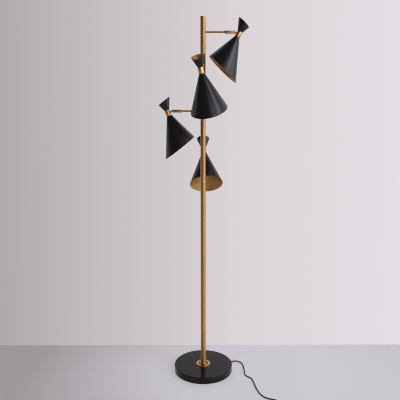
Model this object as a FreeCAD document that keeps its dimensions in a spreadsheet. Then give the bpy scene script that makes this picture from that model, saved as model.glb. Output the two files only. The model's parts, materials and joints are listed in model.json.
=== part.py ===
"""Tree floor lamp: a round weighted base, a brass pole in two lengths and four brass arms,
one under the other, each with a black hourglass shade on a swivelling, tilting knuckle.

Millimetres and degrees. The origin is the centre of the base's underside, +Z is up, -Y is the
front and +X is on the right of someone who looks at the front.
"""

import FreeCAD, Part
import math
import os
import Sketcher
from FreeCAD import Placement, Rotation, Vector

# Driving sizes. Each one stands here once, and the sheet of the document holds them all.
SIZES = {
    # weighted base
    "base_radius": 140.0,
    "base_height": 31.5,
    "cover_skin": 1.5,
    "cover_edge": 3.0,
    "cover_floor_gap": 1.5,
    "mat_thickness": 3.0,
    "mat_inset": 5.0,
    "recess_radius": 16.0,
    "recess_depth": 12.0,
    "channel_width": 13.0,
    # threaded tube and nut that hold the pole to the base
    "stud_radius": 5.0,
    "stud_bore": 3.5,
    "stud_reach": 30.0,
    "lock_nut_across": 17.0,
    "lock_nut_height": 6.0,
    # brass flange at the foot of the pole
    "flange_radius": 34.5,
    "flange_rim_height": 4.0,
    "flange_plate": 2.0,
    "flange_groove_outside": 22.0,
    "flange_groove_inside": 17.0,
    "flange_boss_radius": 15.0,
    "flange_boss_height": 7.0,
    # pole
    "lower_pole_radius": 12.1,
    "upper_pole_radius": 11.6,
    "pole_wall": 1.5,
    "lower_pole_length": 901.5,
    "upper_pole_length": 721.0,
    "coupler_reach": 35.0,
    "cap_thickness": 2.5,
    "cap_spigot": 8.0,
    # arms
    "arm_radius": 4.0,
    "arm_bore": 2.5,
    "arm_1_drop": 66.0,
    "arm_2_drop": 236.0,
    "arm_3_drop": 405.0,
    "arm_4_drop": 586.0,
    # knuckle at the end of each arm
    "knuckle_start": 95.0,
    "knuckle_radius": 6.6,
    "knuckle_length": 34.0,
    "knuckle_taper": 5.0,
    "arm_in_knuckle": 26.0,
    "knuckle_neck": 4.2,
    "ball_radius": 6.0,
    "pivot_reach": 137.0,
    "pin_radius": 1.5,
    "tongue_thickness": 3.0,
    "tongue_radius": 5.2,
    "stem_radius": 3.0,
    # shade: waist collar and two cones whose rims are cut at a slant
    "collar_reach": 21.0,
    "collar_radius": 12.2,
    "collar_length": 26.0,
    "collar_edge": 0.6,
    "cone_neck_radius": 11.4,
    "cone_half_angle": 24.3,
    "cone_wall": 1.0,
    "big_cone_height": 148.2,
    "small_cone_height": 41.1,
    "rim_slope": 15.9,
    # lampholder and bulb in the big cone
    "nipple_radius": 5.0,
    "nipple_bore": 3.5,
    "shade_nut_across": 14.0,
    "shade_nut_height": 4.0,
    "holder_neck_radius": 8.0,
    "holder_neck_length": 9.0,
    "holder_radius": 13.0,
    "holder_length": 28.0,
    "socket_radius": 7.5,
    "socket_depth": 19.0,
    "bulb_base_radius": 6.9,
    "bulb_neck_length": 22.0,
    "bulb_radius": 20.0,
    # mains cord, its strain relief, foot switch and plug
    "cord_radius": 3.0,
    "gland_height": 8.0,
    "gland_azimuth": 23.0,
    "gland_shank_radius": 4.5,
    "gland_shank_length": 9.0,
    "gland_flange_radius": 6.5,
    "gland_flange_length": 2.5,
    "relief_radius": 5.2,
    "relief_tip_radius": 3.8,
    "relief_length": 18.0,
    "cord_first_run": 15.0,
    "switch_cord_height": 7.0,
    "coil_middle_radius": 34.0,
    "coil_pitch": 6.8,
    "coil_turns_in_layer": 3.0,
    "coil_lead_in": 40.0,
    "coil_lead_out": 24.0,
    "switch_length": 72.0,
    "switch_width": 34.0,
    "switch_height": 20.0,
    "switch_edge": 4.0,
    "switch_corner": 8.0,
    "button_radius": 11.5,
    "button_height": 11.0,
    "button_well_depth": 11.0,
    "button_travel": 3.0,
    "plug_length": 38.0,
    "plug_width": 34.0,
    "plug_thickness": 14.0,
    "plug_edge": 3.0,
    "plug_tail_length": 16.0,
    "plug_tail_radius": 4.6,
    "plug_pin_radius": 2.0,
    "plug_pin_length": 19.0,
    "plug_pin_spacing": 18.6,
    # clearances
    "turning_fit": 0.05,
    "side_fit": 0.2,
    "loose_fit": 0.3,
    "end_gap": 1.0,
}

# How the four lamps stand in the photograph, from the top one down, in degrees: the arm's
# direction counted from +X, the knuckle's turn about the arm, and the shade's tilt.
LAMPS = (
    {"azimuth": 1.0, "swivel": 0.5, "tilt": 28.4},
    {"azimuth": -93.5, "swivel": 11.4, "tilt": 8.0},
    {"azimuth": 182.0, "swivel": 0.5, "tilt": 22.0},
    {"azimuth": 88.5, "swivel": -4.6, "tilt": 19.7},
)

# Where the cord lies, from a little past the strain relief to the foot switch: x, y and how
# far it is held up off the floor. The last two heights are the switch's own.
CORD_ROUTE = (
    (179.3, 66.9, 2.2),
    (192.3, 54.6, 0.6),
    (197.7, 29.4, 0.0),
    (200.2, -3.1, 0.0),
    (198.7, -42.3, 0.0),
    (199.9, -64.5, 0.0),
    (214.0, -78.7, 0.0),
    (225.6, -89.2, 0.0),
    (230.7, -105.4, 0.0),
    (236.0, -142.0, 0.0),
    (240.2, -179.2, 0.0),
    (249.8, -217.5, 0.0),
    (262.7, -244.6, 0.0),
    (279.8, -260.2, 0.0),
    (302.4, -269.9, 0.2),
    (321.5, -279.5, 2.0),
    (334.5, -297.0, None),
    (338.5, -319.0, None),
)
SHORTEST_SHARE = 0.45
# Where a bulb's neck runs into its globe: a point of the circle, in radii out and up.
GLOBE_SHOULDER = (0.8, 0.6)
# Turns that the coil takes to climb from its lower layer to its upper one.
CLIMB = 0.5


class Size:
    """A size that carries both its value and the expression that gives it from the sheet."""

    def __init__(self, value, text):
        self.value = float(value)
        self.text = text

    def __add__(self, other):
        other = sized(other)
        return Size(self.value + other.value, f"({self.text} + {other.text})")

    def __sub__(self, other):
        other = sized(other)
        return Size(self.value - other.value, f"({self.text} - {other.text})")

    def __mul__(self, other):
        other = sized(other)
        return Size(self.value * other.value, f"({self.text} * {other.text})")

    def __truediv__(self, other):
        other = sized(other)
        return Size(self.value / other.value, f"({self.text} / {other.text})")

    def __neg__(self):
        return Size(-self.value, f"(0 - {self.text})")


def sized(number):
    """A Size for a plain number, so that both kinds mix."""
    return number if isinstance(number, Size) else Size(number, f"{number:g}")


def tangent(angle):
    return Size(math.tan(math.radians(angle.value)), f"tan({angle.text} * 1 deg)")


def cosine(angle):
    return Size(math.cos(math.radians(angle.value)), f"cos({angle.text} * 1 deg)")


class Sheet:
    """The document's spreadsheet; sheet.base_radius is the Size of that cell."""

    def __init__(self, doc):
        self.object = doc.addObject("Spreadsheet::Sheet", "Sizes")
        for row, (name, value) in enumerate(SIZES.items(), start=1):
            self.object.set(f"A{row}", name)
            self.object.set(f"B{row}", f"{value:g}")
            self.object.setAlias(f"B{row}", name)
            setattr(self, name, Size(value, f"Sizes.{name}"))


doc = FreeCAD.newDocument("TreeFloorLamp")
size = Sheet(doc)
doc.recompute()
pieces = []


# Drawing helpers


def new_body(label, place=None):
    """A sub-part of its own, listed for export."""
    body = doc.addObject("PartDesign::Body", label)
    body.Label = label
    body.Placement = place or Placement()
    pieces.append(body)
    return body


def plane_of(body, role):
    return next(part for part in body.Origin.OriginFeatures if part.Role == role)


def new_sketch(body, role, name, turned=None):
    sketch = body.newObject("Sketcher::SketchObject", name)
    sketch.AttachmentSupport = [(plane_of(body, role), "")]
    sketch.MapMode = "FlatFace"
    if turned is not None:
        sketch.AttachmentOffset = turned
    return sketch


def hold(sketch, line, end, x, y):
    """Ties one end of a line to its two sizes, counted from the sketch's origin."""
    for kind, axis, amount in (("DistanceX", -2, x), ("DistanceY", -1, y)):
        if amount.text == "0":
            sketch.addConstraint(Sketcher.Constraint("PointOnObject", line, end, axis))
            continue
        tie = Sketcher.Constraint(kind, -1, 1, line, end, amount.value)
        number = sketch.addConstraint(tie)
        sketch.setExpression(f"Constraints[{number}]", amount.text)


def polygon(sketch, corners):
    """A closed outline of straight lines, every corner held by its sizes."""
    corners = [(sized(x), sized(y)) for x, y in corners]
    points = [Vector(x.value, y.value, 0) for x, y in corners]
    first = sketch.GeometryCount
    for start, end in zip(points, points[1:] + points[:1]):
        sketch.addGeometry(Part.LineSegment(start, end), False)
    count = len(points)
    for k in range(count):
        after = first + (k + 1) % count
        sketch.addConstraint(Sketcher.Constraint("Coincident", first + k, 2, after, 1))
    for k, (x, y) in enumerate(corners):
        hold(sketch, first + k, 1, x, y)


def circle(sketch, x, y, radius):
    """A circle whose middle and radius are held by their sizes."""
    x, y, radius = sized(x), sized(y), sized(radius)
    ring = Part.Circle(Vector(x.value, y.value, 0), Vector(0, 0, 1), radius.value)
    number = sketch.addGeometry(ring, False)
    hold(sketch, number, 3, x, y)
    tie = sketch.addConstraint(Sketcher.Constraint("Radius", number, radius.value))
    sketch.setExpression(f"Constraints[{tie}]", radius.text)


def turned(body, corners, about="V_Axis", name="Turned"):
    """A solid of revolution about the sketch's upright or level axis."""
    sketch = new_sketch(body, "XZ_Plane", name + "Outline")
    polygon(sketch, corners)
    solid = body.newObject("PartDesign::Revolution", name)
    solid.Profile = sketch
    solid.ReferenceAxis = (sketch, [about])
    solid.Angle = 360
    doc.recompute()
    return solid


def padded(body, sketch, length, name="Pad", both_ways=False, backwards=False):
    pad = body.newObject("PartDesign::Pad", name)
    pad.Profile = sketch
    pad.setExpression("Length", sized(length).text)
    pad.Midplane = both_ways
    pad.Reversed = backwards
    doc.recompute()
    return pad


def cut(body, sketch, length, name="Cut", both_ways=False, backwards=False):
    """A pocket that has to take something away."""
    before = body.Shape.Volume
    pocket = body.newObject("PartDesign::Pocket", name)
    pocket.Profile = sketch
    pocket.setExpression("Length", sized(length).text)
    pocket.Midplane = both_ways
    pocket.Reversed = backwards
    doc.recompute()
    if not body.Shape.Volume < before - 1e-6:
        raise RuntimeError(f"{body.Label}: {name} cuts nothing")
    return pocket


def soften(body, feature, radius, wanted, kind="Fillet"):
    """Rounds or bevels the edges of a feature for which wanted(edge) is true."""
    edges = [f"Edge{k}" for k, edge in enumerate(feature.Shape.Edges, 1) if wanted(edge)]
    if not edges:
        raise RuntimeError(f"{body.Label}: no edge to soften")
    softened = body.newObject(f"PartDesign::{kind}", kind)
    softened.Base = (feature, edges)
    softened.setExpression("Radius" if kind == "Fillet" else "Size", sized(radius).text)
    doc.recompute()
    return softened


def is_ring(edge, radius, height):
    """Whether an edge is a full circle of that radius at that height about the body's Z."""
    curve = edge.Curve
    if not isinstance(curve, Part.Circle) or abs(curve.Radius - radius.value) > 1e-3:
        return False
    return abs(curve.Center.z - height.value) < 1e-3


def hexagon(sketch, across):
    """A hexagon about the sketch's origin, from its width across flats."""
    half_side = across / cosine(Size(30, "30")) / 4
    corner = half_side * 2
    flat = across / 2
    polygon(
        sketch,
        [
            (corner, 0),
            (half_side, flat),
            (-half_side, flat),
            (-corner, 0),
            (-half_side, -flat),
            (half_side, -flat),
        ],
    )


# Heights and places that several pieces share

plate_top = size.base_height + size.flange_plate
weight_top = size.base_height - size.cover_skin
pole_joint = plate_top + size.lower_pole_length
pole_top = pole_joint + size.upper_pole_length
recess_top = size.mat_thickness + size.recess_depth
half_collar = size.collar_length / 2
slope = tangent(size.rim_slope)
flare = tangent(size.cone_half_angle)
wall_across = size.cone_wall / cosine(size.cone_half_angle)


def arm_height(number):
    """How high an arm's middle line is, counted down from the pole's top."""
    drops = (size.arm_1_drop, size.arm_2_drop, size.arm_3_drop, size.arm_4_drop)
    return pole_top - drops[number]


def arm_place(number):
    """The arm's own frame: +X runs out along it and +Z is up."""
    turn = Rotation(Vector(0, 0, 1), LAMPS[number]["azimuth"])
    return Placement(Vector(0, 0, arm_height(number).value), turn)


def knuckle_place(number):
    """The arm's frame after the knuckle has turned about the arm."""
    turn = Rotation(Vector(1, 0, 0), LAMPS[number]["swivel"])
    return arm_place(number).multiply(Placement(Vector(), turn))


def tilt_place(number):
    """The tilting parts' frame, about the knuckle's pin: +X runs to the collar."""
    turn = Rotation(Vector(0, 1, 0), LAMPS[number]["tilt"])
    at_pin = Placement(Vector(size.pivot_reach.value, 0, 0), turn)
    return knuckle_place(number).multiply(at_pin)


def shade_place(number):
    """The shade's frame, about the middle of the collar: +Z runs to the small cone."""
    to_axis = Placement(Vector(size.collar_reach.value, 0, 0), Rotation())
    return tilt_place(number).multiply(to_axis)


# Base


def base_cover():
    """Spun steel cover, black, open underneath, with a hole for the threaded tube."""
    body = new_body("base_cover")
    inside = size.base_radius - size.cover_skin
    hole = size.stud_radius + size.turning_fit
    shell = turned(
        body,
        [
            (hole, weight_top),
            (inside, weight_top),
            (inside, size.cover_floor_gap),
            (size.base_radius, size.cover_floor_gap),
            (size.base_radius, size.base_height),
            (hole, size.base_height),
        ],
    )
    soften(
        body,
        shell,
        size.cover_edge,
        lambda edge: is_ring(edge, size.base_radius, size.base_height),
    )
    exit_hole = new_sketch(body, "YZ_Plane", "CordHoleOutline", gland_turn())
    circle(exit_hole, 0, size.gland_height, size.gland_shank_radius + size.turning_fit)
    cut(body, exit_hole, size.base_radius, "CordHole", backwards=True)


def gland_turn():
    """Turns a sketch on the YZ plane so that its normal points along the cord's exit."""
    turn = Rotation(Vector(0, 1, 0), size.gland_azimuth.value)
    return Placement(Vector(), turn)


def base_weight():
    """Cast iron disc under the cover, with a recess for the nut and a channel for the cord."""
    body = new_body("base_weight")
    outside = size.base_radius - size.cover_skin - size.loose_fit
    hole = size.stud_radius + size.turning_fit
    disc = turned(
        body,
        [
            (hole, recess_top),
            (size.recess_radius, recess_top),
            (size.recess_radius, size.mat_thickness),
            (outside, size.mat_thickness),
            (outside, weight_top),
            (hole, weight_top),
        ],
    )
    soften(
        body,
        disc,
        size.cover_edge,
        lambda edge: is_ring(edge, outside, weight_top),
        "Chamfer",
    )
    channel = new_sketch(body, "YZ_Plane", "ChannelOutline", gland_turn())
    half = size.channel_width / 2
    polygon(
        channel,
        [
            (-half, size.mat_thickness - size.end_gap),
            (half, size.mat_thickness - size.end_gap),
            (half, recess_top),
            (-half, recess_top),
        ],
    )
    cut(body, channel, size.base_radius, "Channel", backwards=True)


def base_mat():
    """Soft mat that the lamp stands on."""
    body = new_body("base_mat")
    sketch = new_sketch(body, "XY_Plane", "MatOutline")
    circle(sketch, 0, 0, size.base_radius - size.mat_inset)
    padded(body, sketch, size.mat_thickness)


def threaded_tube():
    """Hollow stud that pulls the pole and flange down on the base."""
    body = new_body("threaded_tube")
    bottom = recess_top - size.lock_nut_height - size.end_gap
    top = plate_top + size.stud_reach - size.end_gap
    turned(
        body,
        [
            (size.stud_bore, bottom),
            (size.stud_radius, bottom),
            (size.stud_radius, top),
            (size.stud_bore, top),
        ],
    )


def lock_nut():
    body = new_body("lock_nut", Placement(Vector(0, 0, recess_top.value), Rotation()))
    sketch = new_sketch(body, "XY_Plane", "NutOutline")
    hexagon(sketch, size.lock_nut_across)
    circle(sketch, 0, 0, size.stud_radius + size.turning_fit)
    padded(body, sketch, size.lock_nut_height, backwards=True)


def foot_flange():
    """Brass foot of the pole: a raised rim, a groove and a boss that the pole stands in."""
    body = new_body("foot_flange")
    groove_floor = plate_top
    rim_top = size.base_height + size.flange_rim_height
    boss_top = size.base_height + size.flange_boss_height
    bevel = size.flange_rim_height - size.flange_plate
    turned(
        body,
        [
            (size.stud_radius + size.turning_fit, size.base_height),
            (size.flange_radius, size.base_height),
            (size.flange_radius, plate_top),
            (size.flange_radius - bevel, rim_top),
            (size.flange_groove_outside + bevel, rim_top),
            (size.flange_groove_outside, groove_floor),
            (size.flange_groove_inside, groove_floor),
            (size.flange_boss_radius, boss_top),
            (size.lower_pole_radius + size.turning_fit, boss_top),
            (size.lower_pole_radius + size.turning_fit, plate_top),
            (size.stud_radius + size.turning_fit, plate_top),
        ],
    )


# Pole


def lower_pole():
    """Brass tube with a plug in its foot for the threaded tube, its top edge bevelled."""
    body = new_body("lower_pole")
    inside = size.lower_pole_radius - size.pole_wall
    step = size.lower_pole_radius - size.upper_pole_radius
    hole = size.stud_radius + size.turning_fit
    plug_top = plate_top + size.stud_reach
    turned(
        body,
        [
            (hole, plate_top),
            (size.lower_pole_radius, plate_top),
            (size.lower_pole_radius, pole_joint - step),
            (size.upper_pole_radius, pole_joint),
            (inside, pole_joint),
            (inside, plug_top),
            (hole, plug_top),
        ],
    )


def upper_pole():
    """Brass tube with one hole for each arm."""
    body = new_body("upper_pole")
    inside = size.upper_pole_radius - size.pole_wall
    top = pole_top - size.cap_thickness
    turned(
        body,
        [
            (inside, pole_joint),
            (size.upper_pole_radius, pole_joint),
            (size.upper_pole_radius, top),
            (inside, top),
        ],
    )
    for number, lamp in enumerate(LAMPS):
        turn = Placement(Vector(), Rotation(Vector(0, 1, 0), lamp["azimuth"]))
        outline = new_sketch(body, "YZ_Plane", f"ArmHoleOutline{number + 1}", turn)
        circle(outline, 0, arm_height(number), size.arm_radius + size.turning_fit)
        cut(body, outline, size.upper_pole_radius, f"ArmHole{number + 1}", backwards=True)


def pole_coupler():
    """Turned spigot inside the joint of the two tubes."""
    body = new_body("pole_coupler")
    low = size.lower_pole_radius - size.pole_wall - size.turning_fit
    high = size.upper_pole_radius - size.pole_wall - size.turning_fit
    turned(
        body,
        [
            (size.stud_radius, pole_joint - size.coupler_reach),
            (low, pole_joint - size.coupler_reach),
            (low, pole_joint),
            (high, pole_joint),
            (high, pole_joint + size.coupler_reach),
            (size.stud_radius, pole_joint + size.coupler_reach),
        ],
    )


def pole_cap():
    body = new_body("pole_cap")
    inside = size.upper_pole_radius - size.pole_wall - size.turning_fit
    under = pole_top - size.cap_thickness
    turned(
        body,
        [
            (0, under - size.cap_spigot),
            (inside, under - size.cap_spigot),
            (inside, under),
            (size.upper_pole_radius, under),
            (size.upper_pole_radius, pole_top),
            (0, pole_top),
        ],
    )


# Arms and knuckles


def arm_tube(number):
    """Brass tube from inside the pole to inside its knuckle, hollow for the wires."""
    body = new_body(f"arm_tube_{number + 1}", arm_place(number))
    start = size.upper_pole_radius - size.pole_wall - size.end_gap
    end = size.knuckle_start + size.arm_in_knuckle
    turned(
        body,
        [
            (start, size.arm_bore),
            (end, size.arm_bore),
            (end, size.arm_radius),
            (start, size.arm_radius),
        ],
        "H_Axis",
    )


def knuckle(number):
    """Brass sleeve that turns on the arm; its slotted ball holds the shade's tongue."""
    body = new_body(f"knuckle_{number + 1}", knuckle_place(number))
    bore = size.arm_radius + size.turning_fit
    bore_end = size.knuckle_start + size.arm_in_knuckle + size.end_gap
    shoulder = size.knuckle_start + size.knuckle_length
    turned(
        body,
        [
            (size.knuckle_start, bore),
            (bore_end, bore),
            (bore_end, 0),
            (size.pivot_reach, 0),
            (size.pivot_reach, size.knuckle_neck),
            (shoulder, size.knuckle_neck),
            (shoulder - size.knuckle_taper, size.knuckle_radius),
            (size.knuckle_start + size.collar_edge, size.knuckle_radius),
            (size.knuckle_start, size.knuckle_radius - size.collar_edge),
        ],
        "H_Axis",
    )
    ball = body.newObject("PartDesign::AdditiveSphere", "Ball")
    ball.setExpression("Radius", size.ball_radius.text)
    ball.setExpression("Placement.Base.x", size.pivot_reach.text)
    doc.recompute()
    slot = new_sketch(body, "XY_Plane", "SlotOutline")
    half = size.tongue_thickness / 2 + size.side_fit
    slot_end = size.pivot_reach - size.tongue_radius - size.loose_fit
    past = size.pivot_reach + size.ball_radius + size.end_gap
    polygon(slot, [(slot_end, -half), (past, -half), (past, half), (slot_end, half)])
    cut(body, slot, size.ball_radius * 3, "Slot", both_ways=True)
    hole = new_sketch(body, "XZ_Plane", "PinHoleOutline")
    circle(hole, size.pivot_reach, 0, size.pin_radius + size.turning_fit)
    cut(body, hole, size.ball_radius * 3, "PinHole", both_ways=True)


def pivot_pin(number):
    """Steel pin across the knuckle's ball, just under flush."""
    body = new_body(f"pivot_pin_{number + 1}", knuckle_place(number))
    sketch = new_sketch(body, "XZ_Plane", "PinOutline")
    circle(sketch, size.pivot_reach, 0, size.pin_radius)
    padded(body, sketch, (size.ball_radius - size.loose_fit) * 2, both_ways=True)


def shade_tongue(number):
    """Brass tongue on the pin, with a round stem that goes into the collar."""
    body = new_body(f"shade_tongue_{number + 1}", tilt_place(number))
    eye = new_sketch(body, "XZ_Plane", "EyeOutline")
    circle(eye, 0, 0, size.tongue_radius)
    padded(body, eye, size.tongue_thickness, "Eye", both_ways=True)
    stem_start = size.ball_radius + size.loose_fit
    web = new_sketch(body, "XZ_Plane", "WebOutline")
    polygon(
        web,
        [
            (0, -size.stem_radius),
            (stem_start, -size.stem_radius),
            (stem_start, size.stem_radius),
            (0, size.stem_radius),
        ],
    )
    padded(body, web, size.tongue_thickness, "Web", both_ways=True)
    stem_end = size.collar_reach - size.nipple_radius - size.end_gap
    turned(
        body,
        [
            (stem_start, 0),
            (stem_end, 0),
            (stem_end, size.stem_radius),
            (stem_start, size.stem_radius),
        ],
        "H_Axis",
        "Stem",
    )
    hole = new_sketch(body, "XZ_Plane", "EyeHoleOutline")
    circle(hole, 0, 0, size.pin_radius + size.turning_fit)
    cut(body, hole, size.tongue_thickness * 2, "EyeHole", both_ways=True)


# Shades


def collar(number):
    """Brass waist, bored for the threaded nipple and, from the side, for the stem."""
    body = new_body(f"collar_{number + 1}", shade_place(number))
    hole = size.nipple_radius + size.turning_fit
    waist = turned(
        body,
        [
            (hole, -half_collar),
            (size.collar_radius, -half_collar),
            (size.collar_radius, half_collar),
            (hole, half_collar),
        ],
    )
    soften(
        body,
        waist,
        size.collar_edge,
        lambda edge: is_ring(edge, size.collar_radius, half_collar)
        or is_ring(edge, size.collar_radius, -half_collar),
        "Chamfer",
    )
    side = new_sketch(body, "YZ_Plane", "StemHoleOutline")
    circle(side, 0, 0, size.stem_radius + size.turning_fit)
    cut(body, side, size.collar_radius, "StemHole")


def cone(number, label, height, up):
    """A black cone shell with a closed neck against the collar and a slanting rim.

    up is 1 for the small cone and -1 for the big one; height is along the axis to the rim.
    """
    body = new_body(f"{label}_{number + 1}", shade_place(number))
    reach = (height + size.cone_neck_radius * slope) / (Size(1, "1") - flare * slope)
    reach = reach + size.end_gap
    rim_radius = size.cone_neck_radius + flare * reach
    hole = size.nipple_radius + size.turning_fit
    disc_radius = size.cone_neck_radius + flare * size.cone_wall - wall_across
    turned(
        body,
        [
            (hole, half_collar * up),
            (size.cone_neck_radius, half_collar * up),
            (rim_radius, (half_collar + reach) * up),
            (rim_radius - wall_across, (half_collar + reach) * up),
            (disc_radius, (half_collar + size.cone_wall) * up),
            (hole, (half_collar + size.cone_wall) * up),
        ],
    )
    past = rim_radius + size.end_gap
    middle = (half_collar + height) * up
    beyond = (half_collar + reach * 2) * up
    rim = new_sketch(body, "XZ_Plane", "RimOutline")
    polygon(
        rim,
        [
            (-past, middle + past * slope),
            (past, middle - past * slope),
            (past, beyond),
            (-past, beyond),
        ],
    )
    cut(body, rim, past * 2, "RimCut", both_ways=True)


def shade_nipple(number):
    """Threaded tube that clamps both cones to the collar and carries the lampholder."""
    body = new_body(f"shade_nipple_{number + 1}", shade_place(number))
    top = half_collar + size.cone_wall + size.shade_nut_height + size.end_gap
    bottom = half_collar + size.cone_wall + size.holder_neck_length - size.end_gap
    turned(
        body,
        [
            (size.nipple_bore, -bottom),
            (size.nipple_radius, -bottom),
            (size.nipple_radius, top),
            (size.nipple_bore, top),
        ],
    )


def shade_nut(number):
    """Brass nut in the bottom of the small cone."""
    body = new_body(f"shade_nut_{number + 1}", shade_place(number))
    under = half_collar + size.cone_wall
    sketch = new_sketch(body, "XY_Plane", "NutOutline")
    sketch.AttachmentOffset = Placement(Vector(0, 0, under.value), Rotation())
    sketch.setExpression("AttachmentOffset.Base.z", under.text)
    hexagon(sketch, size.shade_nut_across)
    circle(sketch, 0, 0, size.nipple_radius + size.turning_fit)
    padded(body, sketch, size.shade_nut_height)


def lampholder(number):
    """Small screw-cap lampholder under the neck of the big cone, open downwards."""
    body = new_body(f"lampholder_{number + 1}", shade_place(number))
    top = -(half_collar + size.cone_wall)
    shoulder = top - size.holder_neck_length
    bevel = size.holder_radius - size.holder_neck_radius
    bottom = shoulder - size.holder_length
    hole = size.nipple_radius + size.turning_fit
    turned(
        body,
        [
            (hole, top),
            (size.holder_neck_radius, top),
            (size.holder_neck_radius, shoulder),
            (size.holder_radius, shoulder - bevel),
            (size.holder_radius, bottom),
            (size.socket_radius, bottom),
            (size.socket_radius, bottom + size.socket_depth),
            (0, bottom + size.socket_depth),
            (0, shoulder),
            (hole, shoulder),
        ],
    )


def bulb(number):
    """Small round bulb, its screw base in the lampholder."""
    body = new_body(f"bulb_{number + 1}", shade_place(number))
    mouth = half_collar + size.cone_wall + size.holder_neck_length + size.holder_length
    base_top = -(mouth - size.socket_depth + size.end_gap)
    base_bottom = -(mouth + size.end_gap)
    centre = base_bottom - size.bulb_neck_length
    shoulder = centre + size.bulb_radius * GLOBE_SHOULDER[1]
    turned(
        body,
        [
            (0, base_top),
            (size.bulb_base_radius, base_top),
            (size.bulb_base_radius, base_bottom),
            (size.bulb_radius * GLOBE_SHOULDER[0], shoulder),
            (0, shoulder),
        ],
    )
    globe = body.newObject("PartDesign::AdditiveSphere", "Globe")
    globe.setExpression("Radius", size.bulb_radius.text)
    globe.setExpression("Placement.Base.z", centre.text)
    doc.recompute()


# Cord


def gland_place():
    """The strain relief's frame: origin on the cover's side, +X out along the cord."""
    azimuth = size.gland_azimuth.value
    turn = Rotation(Vector(0, 0, 1), azimuth)
    reach = size.base_radius.value
    side = turn.multVec(Vector(reach, 0, 0))
    return Placement(side + Vector(0, 0, size.gland_height.value), turn)


def strain_relief():
    """Rubber gland in the cover's side with a tapered sleeve round the cord."""
    body = new_body("strain_relief", gland_place())
    tip = size.gland_flange_length + size.relief_length
    turned(
        body,
        [
            (-size.gland_shank_length, 0),
            (tip, 0),
            (tip, size.relief_tip_radius),
            (size.gland_flange_length, size.relief_radius),
            (size.gland_flange_length, size.gland_flange_radius),
            (0, size.gland_flange_radius),
            (0, size.gland_shank_radius),
            (-size.gland_shank_length, size.gland_shank_radius),
        ],
        "H_Axis",
    )


def cord_points():
    """The whole route as vectors, from the strain relief's tip to the switch."""
    tip = size.gland_flange_length.value + size.relief_length.value
    starts = (tip, tip + size.cord_first_run.value)
    points = [gland_place().multVec(Vector(reach, 0, 0)) for reach in starts]
    for x, y, lift in CORD_ROUTE:
        lying = size.cord_radius.value
        height = size.switch_cord_height.value if lift is None else lying + lift
        points.append(Vector(x, y, height))
    return points


def rounded_path(points):
    """Straight runs joined by tangent arcs, each as large as its two runs allow."""
    edges = []
    radii = []
    last = points[0]
    for before, corner, after in zip(points, points[1:], points[2:]):
        incoming = (before - corner).normalize()
        outgoing = (after - corner).normalize()
        half_turn = (math.pi - incoming.getAngle(outgoing)) / 2
        shorter = min((before - corner).Length, (after - corner).Length)
        setback = SHORTEST_SHARE * shorter
        radius = setback / math.tan(half_turn)
        start = corner + incoming * setback
        end = corner + outgoing * setback
        inwards = (incoming + outgoing).normalize()
        middle = corner + inwards * (radius / math.cos(half_turn) - radius)
        edges.append(Part.LineSegment(last, start).toShape())
        edges.append(Part.Arc(start, middle, end).toShape())
        radii.append(radius)
        last = end
    edges.append(Part.LineSegment(last, points[-1]).toShape())
    return Part.Wire(edges), radii


def swept(wire, start, direction):
    """A round tube of the cord's radius along a wire."""
    ring = Part.Wire(Part.Circle(start, direction, size.cord_radius.value).toShape())
    shell = Part.BRepOffsetAPI.MakePipeShell(wire)
    shell.add(ring)
    shell.build()
    shell.makeSolid()
    return shell.shape()


def by_code(label, shape):
    """A sub-part whose shape is worked out above rather than drawn."""
    feature = doc.addObject("Part::Feature", label)
    feature.Label = label
    feature.Shape = shape
    pieces.append(feature)


def against_formula(label, shape, length):
    """Compares a tube's volume with its section times its length."""
    section = math.pi * size.cord_radius.value**2
    print(f"{label}: {length:.1f} mm long, volume {shape.Volume / section / length:.4f} of its section x length")


def cord():
    """The cord as it lies on the floor, from the strain relief to the foot switch."""
    points = cord_points()
    wire, radii = rounded_path(points)
    shape = swept(wire, points[0], points[1] - points[0])
    print("cord arc radii, mm:", " ".join(f"{r:.0f}" for r in radii))
    against_formula("cord", shape, wire.Length)
    by_code("cord", shape)


def switch_place():
    """The foot switch's frame: origin under its inlet, +X along the cord, on the floor."""
    points = cord_points()
    ahead = points[-1] - points[-2]
    ahead.z = 0
    turn = Rotation(Vector(1, 0, 0), ahead)
    return Placement(Vector(points[-1].x, points[-1].y, 0), turn)


def coil_layout():
    """The coil's centre, its first angle and the radii and heights that its turns run between."""
    place = switch_place()
    reach = size.switch_length.value + size.coil_lead_in.value
    heading = place.Rotation.multVec(Vector(1, 0, 0))
    spread = size.coil_pitch.value * size.coil_turns_in_layer.value
    outside = size.coil_middle_radius.value + spread / 2
    sideways = Vector(heading.y, -heading.x, 0)
    centre = place.multVec(Vector(reach, 0, 0)) + sideways * outside
    first_angle = math.atan2(-sideways.y, -sideways.x)
    return centre, first_angle, outside, outside - spread


def coil_turns():
    """Turns of the whole coil: two layers and the climb between them."""
    return size.coil_turns_in_layer.value * 2 + CLIMB


def eased(share):
    """0 to 1 with level ends."""
    return share * share * (3 - 2 * share)


def coil_point(turns):
    """A point of the coil and its direction, after that many turns.

    The lower layer winds in, half a turn climbs at the inside, and the upper layer winds out.
    """
    centre, first_angle, outside, inside = coil_layout()
    layer = size.coil_turns_in_layer.value
    pitch = size.coil_pitch.value
    low = size.cord_radius.value

    def at(t):
        if t <= layer:
            radius, height = outside - pitch * t, low
        elif t <= layer + CLIMB:
            share = (t - layer) / CLIMB
            radius = inside - CLIMB * pitch * share * (1 - share)
            height = low + pitch * eased(share)
        else:
            radius, height = inside + pitch * (t - layer - CLIMB), low + pitch
        angle = first_angle - 2 * math.pi * t
        return centre + Vector(radius * math.cos(angle), radius * math.sin(angle), height)

    step = 1e-4
    return at(turns), (at(turns + step) - at(turns - step)).normalize()


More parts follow.
